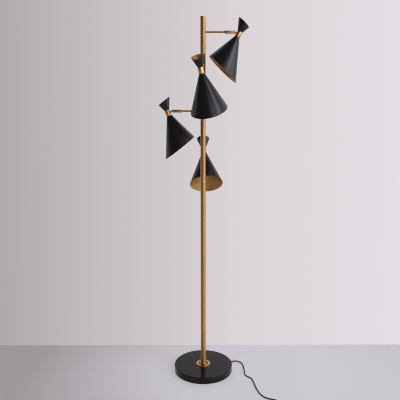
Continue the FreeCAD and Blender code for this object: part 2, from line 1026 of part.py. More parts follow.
def biarc(start, start_way, end, end_way):
    """Two arcs that join two points with the given directions."""
    chord = end - start
    both = start_way + end_way
    a = 2 * (1 - start_way.dot(end_way))
    b = 2 * chord.dot(both)
    c = -chord.dot(chord)
    reach = (-b + math.sqrt(b * b - 4 * a * c)) / (2 * a) if a > 1e-9 else -c / b
    first = start + start_way * reach
    second = end - end_way * reach
    join = (first + second) * 0.5
    way = (second - first).normalize()
    return [one_arc(start, start_way, join), one_arc(join, way, end)]


def one_arc(start, way, end):
    """The arc that leaves start along way and reaches end."""
    chord = end - start
    across = (chord - way * chord.dot(way)).normalize()
    radius = chord.dot(chord) / (2 * chord.dot(across))
    centre = start + across * radius
    outwards = ((start - centre) + (end - centre)).normalize()
    return Part.Arc(start, centre + outwards * radius, end).toShape()


def cord_coil():
    """The rest of the cord, wound up as for storage, between the switch and the plug."""
    total = coil_turns()
    quarter_turns = [coil_point(k / 4) for k in range(int(round(total * 4)) + 1)]
    exit_point, heading = switch_exit()
    first_point, first_way = quarter_turns[0]
    last_point, last_way = plug_entry()
    straight = size.cord_radius.value * 2
    stops = [(exit_point + heading * straight, heading)]
    stops += quarter_turns
    stops += [(last_point - last_way * straight, last_way)]
    edges = [Part.LineSegment(exit_point, stops[0][0]).toShape()]
    for (start, start_way), (end, end_way) in zip(stops, stops[1:]):
        edges += biarc(start, start_way, end, end_way)
    edges.append(Part.LineSegment(stops[-1][0], last_point).toShape())
    wire = Part.Wire(edges)
    shape = swept(wire, exit_point, heading)
    against_formula("cord_coil", shape, wire.Length)
    print(f"cord_coil: least gap between its turns {least_gap(wire):.2f} mm")
    by_code("cord_coil", shape)


def least_gap(wire):
    """The least gap of a tube to itself, on points along its middle line."""
    diameter = size.cord_radius.value * 2
    spacing = 1.0
    count = int(wire.Length / spacing)
    points = wire.discretize(Number=count + 1)
    apart = int(3 * diameter / spacing)
    least = min(
        (points[i] - points[j]).Length
        for i in range(0, count + 1)
        for j in range(i + apart, count + 1, 2)
    )
    return least - diameter


def switch_exit():
    """Where the cord leaves the switch, and the way it points."""
    height = size.switch_cord_height.value
    place = switch_place()
    point = place.multVec(Vector(size.switch_length.value, 0, height))
    return point, place.Rotation.multVec(Vector(1, 0, 0))


def plug_entry():
    """Where the cord enters the plug's tail, a little past the coil's last turn."""
    point, way = coil_point(coil_turns())
    way.z = 0
    entry = point + way.normalize() * size.coil_lead_out.value
    entry.z = size.plug_thickness.value / 2
    return entry, way


def foot_switch():
    """Black housing of the foot switch, with a round well for its button."""
    body = new_body("foot_switch", switch_place())
    half = size.switch_width / 2
    outline = new_sketch(body, "XY_Plane", "HousingOutline")
    polygon(
        outline,
        [(0, -half), (size.switch_length, -half), (size.switch_length, half), (0, half)],
    )
    block = padded(body, outline, size.switch_height)
    corners = soften(body, block, size.switch_corner, upright)
    soften(
        body,
        corners,
        size.switch_edge,
        lambda edge: edge.BoundBox.ZMin > size.switch_height.value - 1e-3,
    )
    well = new_sketch(body, "XY_Plane", "WellOutline")
    well.AttachmentOffset = Placement(Vector(0, 0, size.switch_height.value), Rotation())
    well.setExpression("AttachmentOffset.Base.z", size.switch_height.text)
    circle(well, size.switch_length / 2, 0, size.button_radius + size.loose_fit)
    cut(body, well, size.button_well_depth, "Well")


def upright(edge):
    """Whether an edge is straight and runs along Z."""
    box = edge.BoundBox
    return box.ZLength > 1e-3 and box.XLength < 1e-6 and box.YLength < 1e-6


def foot_button():
    """Push button of the foot switch, which travels down into its well."""
    body = new_body("foot_button", switch_place())
    floor = size.switch_height - size.button_well_depth
    bottom = floor + size.button_travel + size.loose_fit
    sketch = new_sketch(body, "XY_Plane", "ButtonOutline")
    sketch.AttachmentOffset = Placement(Vector(0, 0, bottom.value), Rotation())
    sketch.setExpression("AttachmentOffset.Base.z", bottom.text)
    circle(sketch, size.switch_length / 2, 0, size.button_radius)
    button = padded(body, sketch, size.button_height)
    top = bottom + size.button_height
    soften(
        body,
        button,
        size.button_travel / 3,
        lambda edge: edge.BoundBox.ZMin > top.value - 1e-3,
    )


def plug_place():
    """The plug's frame: origin where the cord enters, +X to the pins, lying on its side."""
    entry, way = plug_entry()
    return Placement(entry, Rotation(Vector(1, 0, 0), way))


def plug():
    """Flat two-pin plug with a tapered tail."""
    body = new_body("plug", plug_place())
    half = size.plug_width / 2
    start = size.plug_tail_length
    end = size.plug_tail_length + size.plug_length
    neck = size.plug_tail_radius
    outline = new_sketch(body, "XY_Plane", "PlugOutline")
    polygon(
        outline,
        [
            (start, -neck),
            (start + neck, -half),
            (end, -half),
            (end, half),
            (start + neck, half),
            (start, neck),
        ],
    )
    block = padded(body, outline, size.plug_thickness, "Block", both_ways=True)
    rounded = soften(
        body,
        block,
        size.plug_edge,
        lambda edge: edge.BoundBox.ZLength < 1e-6 and edge.BoundBox.XMax < end.value + 1e-3
        and edge.BoundBox.XMin > start.value + neck.value - 1e-3
        and edge.BoundBox.YLength < 1e-6,
    )
    turned(
        body,
        [
            (0, 0),
            (start + size.end_gap, 0),
            (start + size.end_gap, size.plug_tail_radius),
            (0, size.relief_tip_radius),
        ],
        "H_Axis",
        "Tail",
    )
    for side in (-1, 1):
        pin = new_sketch(body, "YZ_Plane", f"PinOutline{side + 2}")
        pin.AttachmentOffset = Placement(Vector(0, 0, end.value), Rotation())
        pin.setExpression("AttachmentOffset.Base.z", end.text)
        circle(pin, size.plug_pin_spacing / 2 * side, 0, size.plug_pin_radius)
        padded(body, pin, size.plug_pin_length, f"Pin{side + 2}")


# The whole lamp


def build():
    base_cover()
    base_weight()
    base_mat()
    threaded_tube()
    lock_nut()
    foot_flange()
    lower_pole()
    upper_pole()
    pole_coupler()
    pole_cap()
    for number in range(len(LAMPS)):
        arm_tube(number)
        knuckle(number)
        pivot_pin(number)
        shade_tongue(number)
        collar(number)
        cone(number, "big_cone", size.big_cone_height, -1)
        cone(number, "small_cone", size.small_cone_height, 1)
        shade_nipple(number)
        shade_nut(number)
        lampholder(number)
        bulb(number)
    strain_relief()
    cord()
    foot_switch()
    foot_button()
    cord_coil()
    plug()


def check():
    """Stops if any object of the document failed or any piece isn't a valid solid."""
    for item in doc.Objects:
        if "Invalid" in item.State or "Error" in item.State:
            raise RuntimeError(f"{item.Label} ({item.Name}) failed: {item.State}")
    for piece in pieces:
        shape = piece.Shape
        if shape.isNull() or not shape.isValid() or not shape.Solids:
            raise RuntimeError(f"{piece.Label} has no valid solid")


def export():
    os.makedirs("parts", exist_ok=True)
    for piece in pieces:
        piece.Shape.exportStep(f"parts/{piece.Label}.step")
    print(f"{len(pieces)} pieces written")


build()
doc.recompute()
check()
export()
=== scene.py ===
import json
import math

import bmesh
import bpy
from mathutils import Matrix, Vector


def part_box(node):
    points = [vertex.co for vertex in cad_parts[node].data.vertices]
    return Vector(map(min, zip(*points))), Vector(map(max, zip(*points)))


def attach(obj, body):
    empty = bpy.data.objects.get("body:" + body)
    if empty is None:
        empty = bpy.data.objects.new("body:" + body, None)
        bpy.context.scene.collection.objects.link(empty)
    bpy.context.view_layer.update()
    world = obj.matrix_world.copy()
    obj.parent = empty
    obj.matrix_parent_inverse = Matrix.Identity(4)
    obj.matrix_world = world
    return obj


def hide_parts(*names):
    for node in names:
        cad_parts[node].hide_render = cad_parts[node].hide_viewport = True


bl_info = {
    "name": "Tree Floor Lamp",
    "version": (1, 0, 0),
    "blender": (4, 5, 0),
    "location": "View3D > Sidebar > Lamp",
    "description": "Dresses a tree floor lamp in brass, black and gold, with bulbs and a cord",
    "category": "Add Mesh",
}

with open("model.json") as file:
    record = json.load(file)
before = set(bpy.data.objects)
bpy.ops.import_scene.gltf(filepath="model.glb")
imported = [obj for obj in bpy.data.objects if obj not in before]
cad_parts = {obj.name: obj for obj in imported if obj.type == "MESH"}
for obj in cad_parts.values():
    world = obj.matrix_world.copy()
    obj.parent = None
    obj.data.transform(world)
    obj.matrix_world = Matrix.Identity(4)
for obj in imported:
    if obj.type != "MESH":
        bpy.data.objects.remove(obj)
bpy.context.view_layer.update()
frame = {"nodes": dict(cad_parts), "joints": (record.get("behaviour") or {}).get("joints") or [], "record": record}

MM = 0.001
LAMPS = (1, 2, 3, 4)
# Edges that turn by more degrees than this are drawn sharp.
SHARP = 38

# How each shade leans at rest, in degrees, from the top lamp down.
LAMP_TILTS = (28.4, 8.0, 22.0, 19.7)

# Sizes of the shades, in millimetres and degrees, about the middle of the collar.
HALF_COLLAR = 13.0
COLLAR_REACH = 21.0
COLLAR_RADIUS = 12.2
NIPPLE_HOLE = 5.05
NIPPLE = {"bore": 3.5, "end": 4.6, "crest": 5.0, "root": 4.45, "pitch": 1.0, "up": 1, "down": 8}
SHADE_NUT = {"across": 14.0, "height": 4.0}
CONE_ANGLE = math.radians(24.3)
CONE_NECK = 11.4
CONE_HEIGHTS = {"big_cone": 148.2, "small_cone": 41.1}
CONE_WALL = 1.0
RIM_SLOPE = math.tan(math.radians(15.9))
# The shares of the wall's depth that each layer lies between, and how far its rim is set back.
SHELL = {"outer": 0.0, "inner": 0.78, "set_back": 0.0}
LINING = {"outer": 0.8, "inner": 1.0, "set_back": 0.5}

# The lampholders and bulbs, down from the middle of the collar.
HOLDER_TOP = -14.0
HOLDER_MOUTH = -51.0
HOLDER = {"radius": 13.0, "rib": 12.4, "ribs": 4, "rib_pitch": 4, "well": 7.5}
BULB_NECK = ((10.4, -5.6), (7.2, -2.2), (6.9, -1.0), (0, -1.0))
CAP_END = ((6.0, 14.5), (2.6, 16.4), (2.4, 17.8), (0, 18))
CAP_THREAD = {"turns": 5, "pitch": 2.8, "crest": 6.9, "root": 6.3}

# Sizes of the knuckles, back along the arm from their pins.
KNUCKLE = {"start": 42.5, "bore_end": 15.0, "radius": 6.6, "dome": 5.2}
ARM_BORE = 4.05
SLOT_FLOOR = 6.5
SCREW_HALF_LENGTH = 6.3

# Outlines of the pole's foot, top and joint ring, as radius and height.
FOOT = (
    *((5.05, 31.5), (34.5, 31.5), (34.5, 33.5), (32.5, 35.5), (24, 35.5), (22, 33.5)),
    *((17, 33.5), (15, 38.5), (12.15, 38.5), (12.15, 33.5), (5.05, 33.5)),
)
FOOT_ROUNDS = {2: 0.6, 3: 1.2, 4: 1.2, 5: 0.6, 6: 0.8, 7: 1.0, 8: 0.3}
# Where the flange's groove is painted dark as shade: the radii in millimetres over which the dark fades in and
# out.
FOOT_GROOVE_SHADE = {"inside": (15.5, 17.0), "outside": (22.0, 25.0)}
POLE_TOP = {"spigot": 10.05, "radius": 11.6, "rim": 2.5}
JOINT_RING = ((11.65, -0.6), (12.3, -1.6), (12.3, 0.9), (11.65, 1.2))

# The cord: its exit from the base, its route over the floor as x, y and height of its middle,
# and the foot switch that it runs through.
CORD_DIAMETER = 6.0
GLAND = {"azimuth": 23.0, "base_radius": 140.0, "height": 8.0, "flange": 2.5, "sleeve": 18.0}
FIRST_RUN = 15.0
CORD_ROUTE = (
    (179.3, 66.9, 5.2),
    (192.3, 54.6, 3.6),
    (197.7, 29.4, 3.0),
    (200.2, -3.1, 3.0),
    (198.7, -42.3, 3.0),
    (199.9, -64.5, 3.0),
    (214.0, -78.7, 3.0),
    (225.6, -89.2, 3.0),
    (230.7, -105.4, 3.0),
    (236.0, -142.0, 3.0),
    (240.2, -179.2, 3.0),
    (249.8, -217.5, 3.0),
    (262.7, -244.6, 3.0),
    (279.8, -260.2, 3.0),
    (302.4, -269.9, 3.2),
    (321.5, -279.5, 5.0),
    (334.5, -297.0, 7.0),
    (338.5, -319.0, 7.0),
)
SWITCH = {"length": 72.0, "width": 34.0, "height": 20.0, "seam": 8.5, "cord_height": 7.0}
BUTTON_WELL = {"radius": 11.8, "floor": 9.0}
GRIP = {"first": 18.5, "pitch": 3.5, "grooves": 3, "half_width": 0.6, "reach": 9, "depth": 0.7}
# On through the switch, low under its button, as distance from its near end and height.
SWITCH_ROUTE = ((22.0, 5.6), (50.0, 5.6), (72.0, 7.0), (82.0, 7.0), (92.0, 5.4), (102.0, 3.2))
COIL = {"middle": 34.0, "pitch": 6.8, "turns": 3.0, "climb": 0.5, "lead_in": 40.0}
COIL_STEPS = 16
LAST_RUN = {"length": 24.0, "straight": 9}
PLUG = {"thickness": 14.0, "back": 16.0, "front": 54.0, "half_width": 17.0, "tail": 5.1}
PLUG_PINS = {"apart": 9.3, "root": 50, "bare": 62, "tip": 73, "sleeve": 1.9, "radius": 2.0}

# The camera's place in metres, its lens and how many degrees it looks down and leans.
CAMERA = {"place": (-0.0144, -2.31, 1.2659), "lens": 45.72, "down": 10.3, "roll": -0.13}
PIXEL_FILTER = 1.0

# The room is bright to the right of the lamp, and a little behind it, up to the window's top.
BRIGHT_SIDE = (0.99, 0.14, 0.0)
BRIGHT_EDGE = (-0.1, 0.15)
WINDOW_TOP = (0.2, 0.5)
WINDOW = {"place": (1.85, -1.3, 2.5), "target": (0, 0, 1.2), "size": (0.9, 1.4)}
LIGHT_COLOUR = (0.91, 0.89, 1.0)
HALF_ROOM = 6.0
WALL_HEIGHT = 5.0
# The wall leans back this much a metre, so that the rearmost shade clears it when tilted out.
WALL_LEAN = 0.13
# The wall's painted fall-off of light runs across this span, in metres, past its middle colour at this share.
WALL_SPAN = (-1.1, 1.1)
WALL_MIDDLE = 0.6
# Painted fall-off of light on the floor: it darkens between these distances from the lamp, and sooner on the left,
# away from the window.
FLOOR_LIGHT_FALLOFF = (0.25, 1.0)
FLOOR_NEAR = 0.8
FLOOR_SHADE_LEFT = (-0.4, 0, 0)

# Fineness of the patterns in the finishes, in waves a metre.
LATHE_LINES = 1800
BRASS_CLOUDS = 14
SPINNING_RINGS = 210
POWDER_PEEL = 850
# How much rougher the tubes are than the other brass, and how far the lathe's lines vary it.
TUBE_ROUGHNESS = 2.1
LATHE_VARIES = 0.06


# What a user would change


def colour(name, description, default):
    return bpy.props.FloatVectorProperty(
        name=name,
        description=description,
        subtype="COLOR",
        size=3,
        min=0,
        max=1,
        default=default,
    )


def amount(name, description, default, **more):
    return bpy.props.FloatProperty(
        name=name, description=description, default=default, min=0, **more
    )


def length(name, description, default):
    return amount(name, description, default, unit="LENGTH")


class FinishSettings(bpy.types.PropertyGroup):
    brass: colour("Brass", "Colour of the satin brass", (0.7, 0.41, 0.16))
    brass_shade: colour(
        "Brass, toned", "Colour of the brass where its lacquer has toned", (0.64, 0.365, 0.135)
    )
    brass_roughness: amount(
        "Brass roughness", "How soft the brass reflects", 0.2, max=1, subtype="FACTOR"
    )
    shade: colour("Shade", "Colour of the shades' black powder coat", (0.0105, 0.0092, 0.0102))
    lining: colour("Lining", "Colour of the gold inside the shades", (0.6, 0.34, 0.1))
    enamel: colour("Enamel", "Colour of the base's black enamel", (0.012, 0.012, 0.013))


class SizeSettings(bpy.types.PropertyGroup):
    bulb_diameter: length("Bulb", "Across the bulbs' globes", 0.04)
    slot_width: length("Knuckle slot", "Across the slot that the shade's tongue turns in", 0.0034)
    screw_diameter: length("Knuckle screw", "Across the screw in the knuckle", 0.003)


class StageSettings(bpy.types.PropertyGroup):
    floor: colour("Floor", "Colour of the floor", (0.8, 0.78, 0.81))
    # The far floor's colour is painted shade, where the light has fallen off.
    floor_far_shaded: colour(
        "Floor, far", "Colour of the floor a metre away from the lamp", (0.5, 0.47, 0.47)
    )
    floor_glow: amount("Floor glow", "How far the floor is lifted above what lights it", 0.42)
    wall_left: colour(
        "Wall, left", "Colour of the wall where the light has fallen off", (0.43, 0.4, 0.4)
    )
    wall_middle: colour("Wall, middle", "Colour of the wall behind the lamp", (0.71, 0.668, 0.69))
    wall_right: colour("Wall, right", "Colour of the wall near the light", (0.78, 0.74, 0.785))
    wall_distance: length("Wall distance", "How far the wall's foot stands behind the pole", 0.26)
    window_power: amount("Window", "Power of the high light on the right, in watts", 12)
    sky_bright: amount("Bright side", "Strength of the room's light from the right", 2.2)
    sky_dim: amount("Dim side", "Strength of the room's light from the left", 0.11)


# Frames of the lamp's own pieces


def turned(degrees, axis):
    return Matrix.Rotation(math.radians(degrees), 4, axis)


def moved(x, y, z):
    """Takes millimetres."""
    return Matrix.Translation((x * MM, y * MM, z * MM))


def joint(name):
    return next(joint for joint in frame["joints"] if joint["name"] == name)


def knuckle_place(number):
    """+X runs out along the arm and +Y along the pin; the origin is on the pin."""
    out = Vector(joint(f"swivel_{number}")["axis"])
    pin = Vector(joint(f"tilt_{number}")["axis"])
    turn = Matrix((out, pin, out.cross(pin))).transposed().to_4x4()
    return Matrix.Translation(joint(f"tilt_{number}")["pos_m"]) @ turn


def shade_place(number):
    """The origin is the middle of the collar and +Z runs to the small cone."""
    return knuckle_place(number) @ turned(LAMP_TILTS[number - 1], "Y") @ moved(COLLAR_REACH, 0, 0)


def gland_place():
    """+X runs out along the cord; the origin is on the side of the base."""
    return turned(GLAND["azimuth"], "Z") @ moved(GLAND["base_radius"], 0, GLAND["height"])


def switch_place():
    """+X runs along the cord; the origin is on the floor under the cord's way in."""
    before, entry = (Vector(point) for point in CORD_ROUTE[-2:])
    heading = (entry - before).to_2d()
    turn = Matrix.Rotation(math.atan2(heading.y, heading.x), 4, "Z")
    return moved(entry.x, entry.y, 0) @ turn


def switch_point(along, height):
    """A point on the foot switch's middle line or past its end, in millimetres."""
    return switch_place() @ Vector((along * MM, 0, height * MM)) / MM


# Shaping


def everything(mesh):
    return mesh.verts[:] + mesh.edges[:] + mesh.faces[:]


def spun(outline, rounds=None, steps=64, closed=True):
    """Turns an outline of (radius, height) in millimetres into a solid about +Z.

    rounds gives the radius at each corner of the outline that is rounded, by its number.
    """
    mesh = bmesh.new()
    corners = [mesh.verts.new((radius * MM, 0, height * MM)) for radius, height in outline]
    pairs = list(zip(corners, corners[1:]))
    if closed:
        pairs.append((corners[-1], corners[0]))
    for pair in pairs:
        mesh.edges.new(pair)
    for number, radius in (rounds or {}).items():
        corner = corners[number]
        soften(mesh, [corner, *corner.link_edges], radius, 4, "VERTICES")
    bmesh.ops.spin(
        mesh,
        geom=mesh.verts[:] + mesh.edges[:],
        cent=(0, 0, 0),
        axis=(0, 0, 1),
        angle=math.tau,
        steps=steps,
        use_merge=True,
    )
    return joined_up(mesh)


def rod(radius, low, high, rounds=None, steps=32):
    """A solid cylinder, or a prism with as many sides as steps."""
    outline = [(0, low), (radius, low), (radius, high), (0, high)]
    return spun(outline, rounds, steps, closed=False)


def joined_up(mesh):
    """Merges doubled corners and turns the faces outwards."""
    bmesh.ops.remove_doubles(mesh, verts=mesh.verts[:], dist=1e-7)
    bmesh.ops.recalc_face_normals(mesh, faces=mesh.faces[:])
    return mesh


def sharp_edges(mesh, angle, wanted=lambda edge: True):
    """The edges at which the surface turns by more than that many degrees."""
    return [
        edge
        for edge in mesh.edges
        if edge.is_manifold and edge.calc_face_angle(0) > math.radians(angle) and wanted(edge)
    ]


def soften(mesh, parts, width, segments=3, affect="EDGES"):
    bmesh.ops.bevel(
        mesh,
        geom=parts,
        offset=width * MM,
        offset_type="OFFSET",
        segments=segments,
        profile=0.5,
        affect=affect,
        clamp_overlap=affect == "EDGES",
        material=-1,
    )


def block(mesh, low, high):
    """A box between two corners, in millimetres; gives its vertices."""
    low, high = Vector(low) * MM, Vector(high) * MM
    made = bmesh.ops.create_cube(mesh, size=1)["verts"]
    bmesh.ops.scale(mesh, vec=high - low, verts=made)
    bmesh.ops.translate(mesh, vec=(low + high) / 2, verts=made)
    return made


def add_object(name, data):
    """Puts a new object into the scene."""
    made = bpy.data.objects.new(name, data)
    bpy.context.scene.collection.objects.link(made)
    return made


def add_mesh(name, mesh):
    """Makes the mesh an object, and uses it up."""
    data = bpy.data.meshes.new(name)
    mesh.to_mesh(data)
    mesh.free()
    return add_object(name, data)


def carved(mesh, tool):
    """Takes the tool's volume away from the mesh; uses both up."""
    piece, cutter = add_mesh("carved", mesh), add_mesh("tool", tool)
    cut = piece.modifiers.new("cut", "BOOLEAN")
    cut.operation = "DIFFERENCE"
    cut.solver = "EXACT"
    cut.object = cutter
    left = bmesh.new()
    left.from_object(piece, bpy.context.evaluated_depsgraph_get())
    for data in (piece.data, cutter.data):
        bpy.data.meshes.remove(data)
    return joined_up(left)


def add_piece(name, mesh, place, kind, body, *nodes):
    """Makes the object, with its place in its mesh and its own coordinates kept beside it.

    kind names its finish, and nodes are the CAD nodes that it stands for.
    """
    own = mesh.verts.layers.float_vector.new("own")
    for corner in mesh.verts:
        corner[own] = corner.co
    bmesh.ops.transform(mesh, matrix=place, verts=mesh.verts[:])
    piece = add_mesh(name, mesh)
    piece.data.shade_smooth()
    piece.data.set_sharp_from_angle(angle=math.radians(SHARP))
    piece.data.materials.append(finish_of(kind))
    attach(piece, body)
    if nodes:
        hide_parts(*nodes)
    return piece


# Finishes


class Nodes:
    """The nodes of a material or of the room's light, under construction."""

    def __init__(self, owner):
        owner.use_nodes = True
        self.tree = owner.node_tree

    def node(self, kind, inputs=None, **settings):
        made = self.tree.nodes.new("ShaderNode" + kind)
        for key, value in settings.items():
            setattr(made, key, value)
        for socket, value in (inputs or {}).items():
            self.fill(made.inputs[socket], value)
        return made

    def fill(self, socket, value):
        """Links another node's output to the socket, or sets the socket's own value."""
        if isinstance(value, bpy.types.NodeSocket):
            self.tree.links.new(value, socket)
        else:
            socket.default_value = (*value, 1) if socket.type == "RGBA" else value

    def math(self, operation, *values):
        return self.node("Math", dict(enumerate(values)), operation=operation).outputs[0]

    def spread(self, factor, low, high, start=0.3, end=0.7, **settings):
        """Maps a pattern to a range of values."""
        inputs = {"From Min": start, "From Max": end, "To Min": low, "To Max": high}
        return self.node("MapRange", {"Value": factor, **inputs}, **settings).outputs["Result"]

    def falloff(self, way, axis, span, levels):
        """Runs softly from one level to the other as the direction turns along an axis."""
        along = self.node("VectorMath", {0: way, 1: axis}, operation="DOT_PRODUCT")
        soft = {"interpolation_type": "SMOOTHSTEP"}
        return self.spread(along.outputs["Value"], *levels, *span, **soft)

    def mixed(self, factor, first, second):
        return self.node("MixShader", {0: factor, 1: first.outputs[0], 2: second.outputs[0]})


class Finish(Nodes):
    """A material under construction: one Principled shader and what feeds it."""

    def __init__(self, name, sockets=None, own=False):
        self.material = bpy.data.materials.new(name)
        super().__init__(self.material)
        self.settings = bpy.context.scene.lamp_finishes
        self.shader = self.tree.nodes["Principled BSDF"]
        self.feed(sockets or {})
        if own:
            self.place = self.node("Attribute", attribute_name="own").outputs["Vector"]
        else:
            self.place = self.node("TexCoord").outputs["Object"]

    def feed(self, sockets):
        for socket, value in sockets.items():
            self.fill(self.shader.inputs[socket], value)

    def coat(self, shown, roughness):
        self.feed({"Base Color": shown, "Roughness": roughness})

    def rings(self):
        """Distance from the piece's own axis and height along it, for turned or spun lines."""
        flat = self.node("VectorMath", {0: self.place, 1: (1, 1, 0)}, operation="MULTIPLY")
        radius = self.node("VectorMath", {0: flat.outputs["Vector"]}, operation="LENGTH")
        height = self.node("SeparateXYZ", {0: self.place}).outputs["Z"]
        both = self.node("CombineXYZ", {"X": radius.outputs["Value"], "Z": height})
        return both.outputs["Vector"]

    def hoops(self, axis):
        """The place, drawn out across an axis, for lines that run round it."""
        stretch = [1.0 if letter == axis else 0.02 for letter in "XYZ"]
        return self.node("Mapping", {"Vector": self.place, "Scale": stretch}).outputs["Vector"]

    def noise(self, scale, detail=3, roughness=0.5, place=None):
        inputs = {"Vector": place or self.place, "Scale": scale}
        inputs |= {"Detail": detail, "Roughness": roughness}
        return self.node("TexNoise", inputs).outputs["Fac"]

    def tint(self, factor, low, high, start=0.3, end=0.7, between=None):
        """Runs a pattern from one colour to another, past a third at a place of its own."""
        ramp = self.node("ValToRGB", {"Fac": factor})
        stops = ramp.color_ramp.elements
        for stop, position, shown in zip(stops, (start, end), (low, high)):
            stop.position = position
            stop.color = (*shown, 1)
        if between:
            stops.new(between[0]).color = (*between[1], 1)
        return ramp.outputs["Color"]

    def bump(self, *layers):
        """Stacks bumps, each a (pattern, depth in millimetres, strength)."""
        before = {}
        for height, depth, amount in layers:
            inputs = {"Height": height, "Distance": depth * MM, "Strength": amount, **before}
            before = {"Normal": self.node("Bump", inputs).outputs["Normal"]}
        self.feed(before)

    def plain_rays(self):
        """1 for what the camera sees directly, in metal or through glass."""
        ray = self.node("LightPath").outputs
        seen = self.math("MAXIMUM", ray["Is Camera Ray"], ray["Is Glossy Ray"])
        return self.math("MAXIMUM", seen, ray["Is Transmission Ray"])


def toned(shown, times, plus=0.0):
    return tuple(times * channel + plus for channel in shown)


def satin_brass(name, axis=None):
    """Lacquered brass with fine turned lines.

    The tubes name the axis that they run along, and their reflections are drawn out along it.
    The other pieces have their lines about their own axis.
    """
    finish = Finish(name, {"Metallic": 1.0}, own=axis is None)
    settings, low = finish.settings, finish.settings.brass_roughness
    if axis:
        low *= TUBE_ROUGHNESS
        around = finish.node("Tangent", direction_type="RADIAL", axis=axis).outputs["Tangent"]
        finish.feed({"Anisotropic": 0.9, "Anisotropic Rotation": 0.25, "Tangent": around})
        lines = finish.noise(LATHE_LINES, 2, place=finish.hoops(axis))
    else:
        lines = finish.noise(LATHE_LINES, 2, place=finish.rings())
        finish.bump((lines, 0.002, 0.3))
    clouds = finish.noise(BRASS_CLOUDS)
    shown = finish.tint(clouds, settings.brass_shade, settings.brass, 0.35, 0.65)
    finish.coat(shown, finish.spread(lines, low, low + LATHE_VARIES))


def flange_brass_shaded(name):
    """Turned brass with painted shade: dark in the groove round the pole."""
    finish = Finish(name, {"Metallic": 1.0}, own=True)
    settings, low = finish.settings, finish.settings.brass_roughness
    rings = finish.rings()
    radius = finish.node("SeparateXYZ", {0: rings}).outputs["X"]
    start, end = ([edge * MM for edge in FOOT_GROOVE_SHADE[side]] for side in ("inside", "outside"))
    # Painted shade: the groove round the pole is darkened to a fifth of the toned brass.
    groove = finish.math(
        "MULTIPLY", finish.spread(radius, 0, 1, *start), finish.spread(radius, 1, 0, *end)
    )
    shown = finish.tint(groove, settings.brass, toned(settings.brass_shade, 0.2), 0.0, 1.0)
    lines = finish.noise(LATHE_LINES, 2, place=rings)
    finish.coat(shown, finish.spread(lines, low, low + LATHE_VARIES))


def polished_ring_glint(name):
    """The polished ring at the pole's joint, paler and brighter than the tubes: its fine lines are paled towards
    white, in part a painted glint.
    """
    finish = Finish(name, {"Metallic": 1.0}, own=True)
    brass = finish.settings.brass
    lines = finish.noise(2600, 2, place=finish.rings())
    # Painted glint in part: the lines pale the brass towards white.
    shown = finish.tint(lines, brass, toned(brass, 0.4, 0.5), 0.2, 0.5)
    finish.coat(shown, finish.spread(lines, 0.1, 0.18))


def plain_steel(name):
    finish = Finish(name, {"Metallic": 1.0, "Base Color": (0.56, 0.56, 0.57)})
    grain = finish.noise(1600, 2)
    finish.feed({"Roughness": finish.spread(grain, 0.28, 0.42)})
    finish.bump((grain, 0.02, 0.3))


def powder_coat(name):
    """The shades' black: satin, with the fine peel of a baked powder."""
    finish = Finish(name, {"IOR": 1.5}, own=True)
    shade = finish.settings.shade
    clouds, peel, specks = finish.noise(16), finish.noise(POWDER_PEEL, 2), finish.noise(3200, 1)
    finish.coat(finish.tint(clouds, toned(shade, 0.8), shade), finish.spread(peel, 0.26, 0.33))
    finish.bump((peel, 0.05, 0.35), (specks, 0.02, 0.25))


def gold_lining(name):
    """Gold lacquer inside the shades, with the rings that spinning left."""
    finish = Finish(name, {"Metallic": 0.85}, own=True)
    lining = finish.settings.lining
    rings, clouds = finish.noise(SPINNING_RINGS, 4, 0.6, finish.rings()), finish.noise(30, 4)
    both = finish.math("ADD", rings, clouds)
    shown = finish.tint(both, toned(lining, 0.55), lining, 0.75, 1.0)
    finish.coat(shown, finish.spread(rings, 0.38, 0.55))
    finish.bump((rings, 0.15, 0.4))


def gloss_enamel(name):
    """The base's black: deep gloss with a slight wave, and the dust of a floor."""
    finish = Finish(name, {"IOR": 1.31})
    enamel = finish.settings.enamel
    dust, wave = finish.noise(60, 6, 0.65), finish.noise(140, 2)
    shown = finish.tint(dust, enamel, toned(enamel, 1, 0.006), 0.45, 0.75)
    finish.coat(shown, finish.spread(dust, 0.07, 0.14))
    finish.bump((wave, 0.03, 0.2))


def cast_iron(name):
    finish = Finish(name, {"Metallic": 0.7})
    skin = finish.noise(380, 5)
    shown = finish.tint(skin, (0.08, 0.078, 0.076), (0.2, 0.195, 0.19))
    finish.coat(shown, finish.spread(skin, 0.55, 0.8))
    finish.bump((skin, 0.3, 0.6))


def moulded(name, shown, roughness, grain_depth, own=False):
    """Moulded plastic or rubber with a fine spark grain."""
    finish = Finish(name, {"IOR": 1.48}, own=own)
    grain, wide = finish.noise(1500, 2), finish.noise(90)
    level = finish.spread(grain, roughness - 0.05, roughness + 0.06)
    finish.coat(finish.tint(wide, shown, toned(shown, 1.5)), level)
    finish.bump((grain, grain_depth, 0.4))


def opal_glass(name):
    """The bulbs' milky glass."""
    sockets = {"Transmission Weight": 0.25, "Subsurface Weight": 0.3, "Subsurface Scale": 1.0}
    sockets |= {"IOR": 1.45, "Subsurface Radius": (0.01, 0.009, 0.008)}
    finish = Finish(name, sockets, own=True)
    clouds = finish.noise(45, 2)
    shown = finish.tint(clouds, (0.86, 0.84, 0.79), (0.93, 0.91, 0.87))
    finish.coat(shown, finish.spread(clouds, 0.12, 0.2))


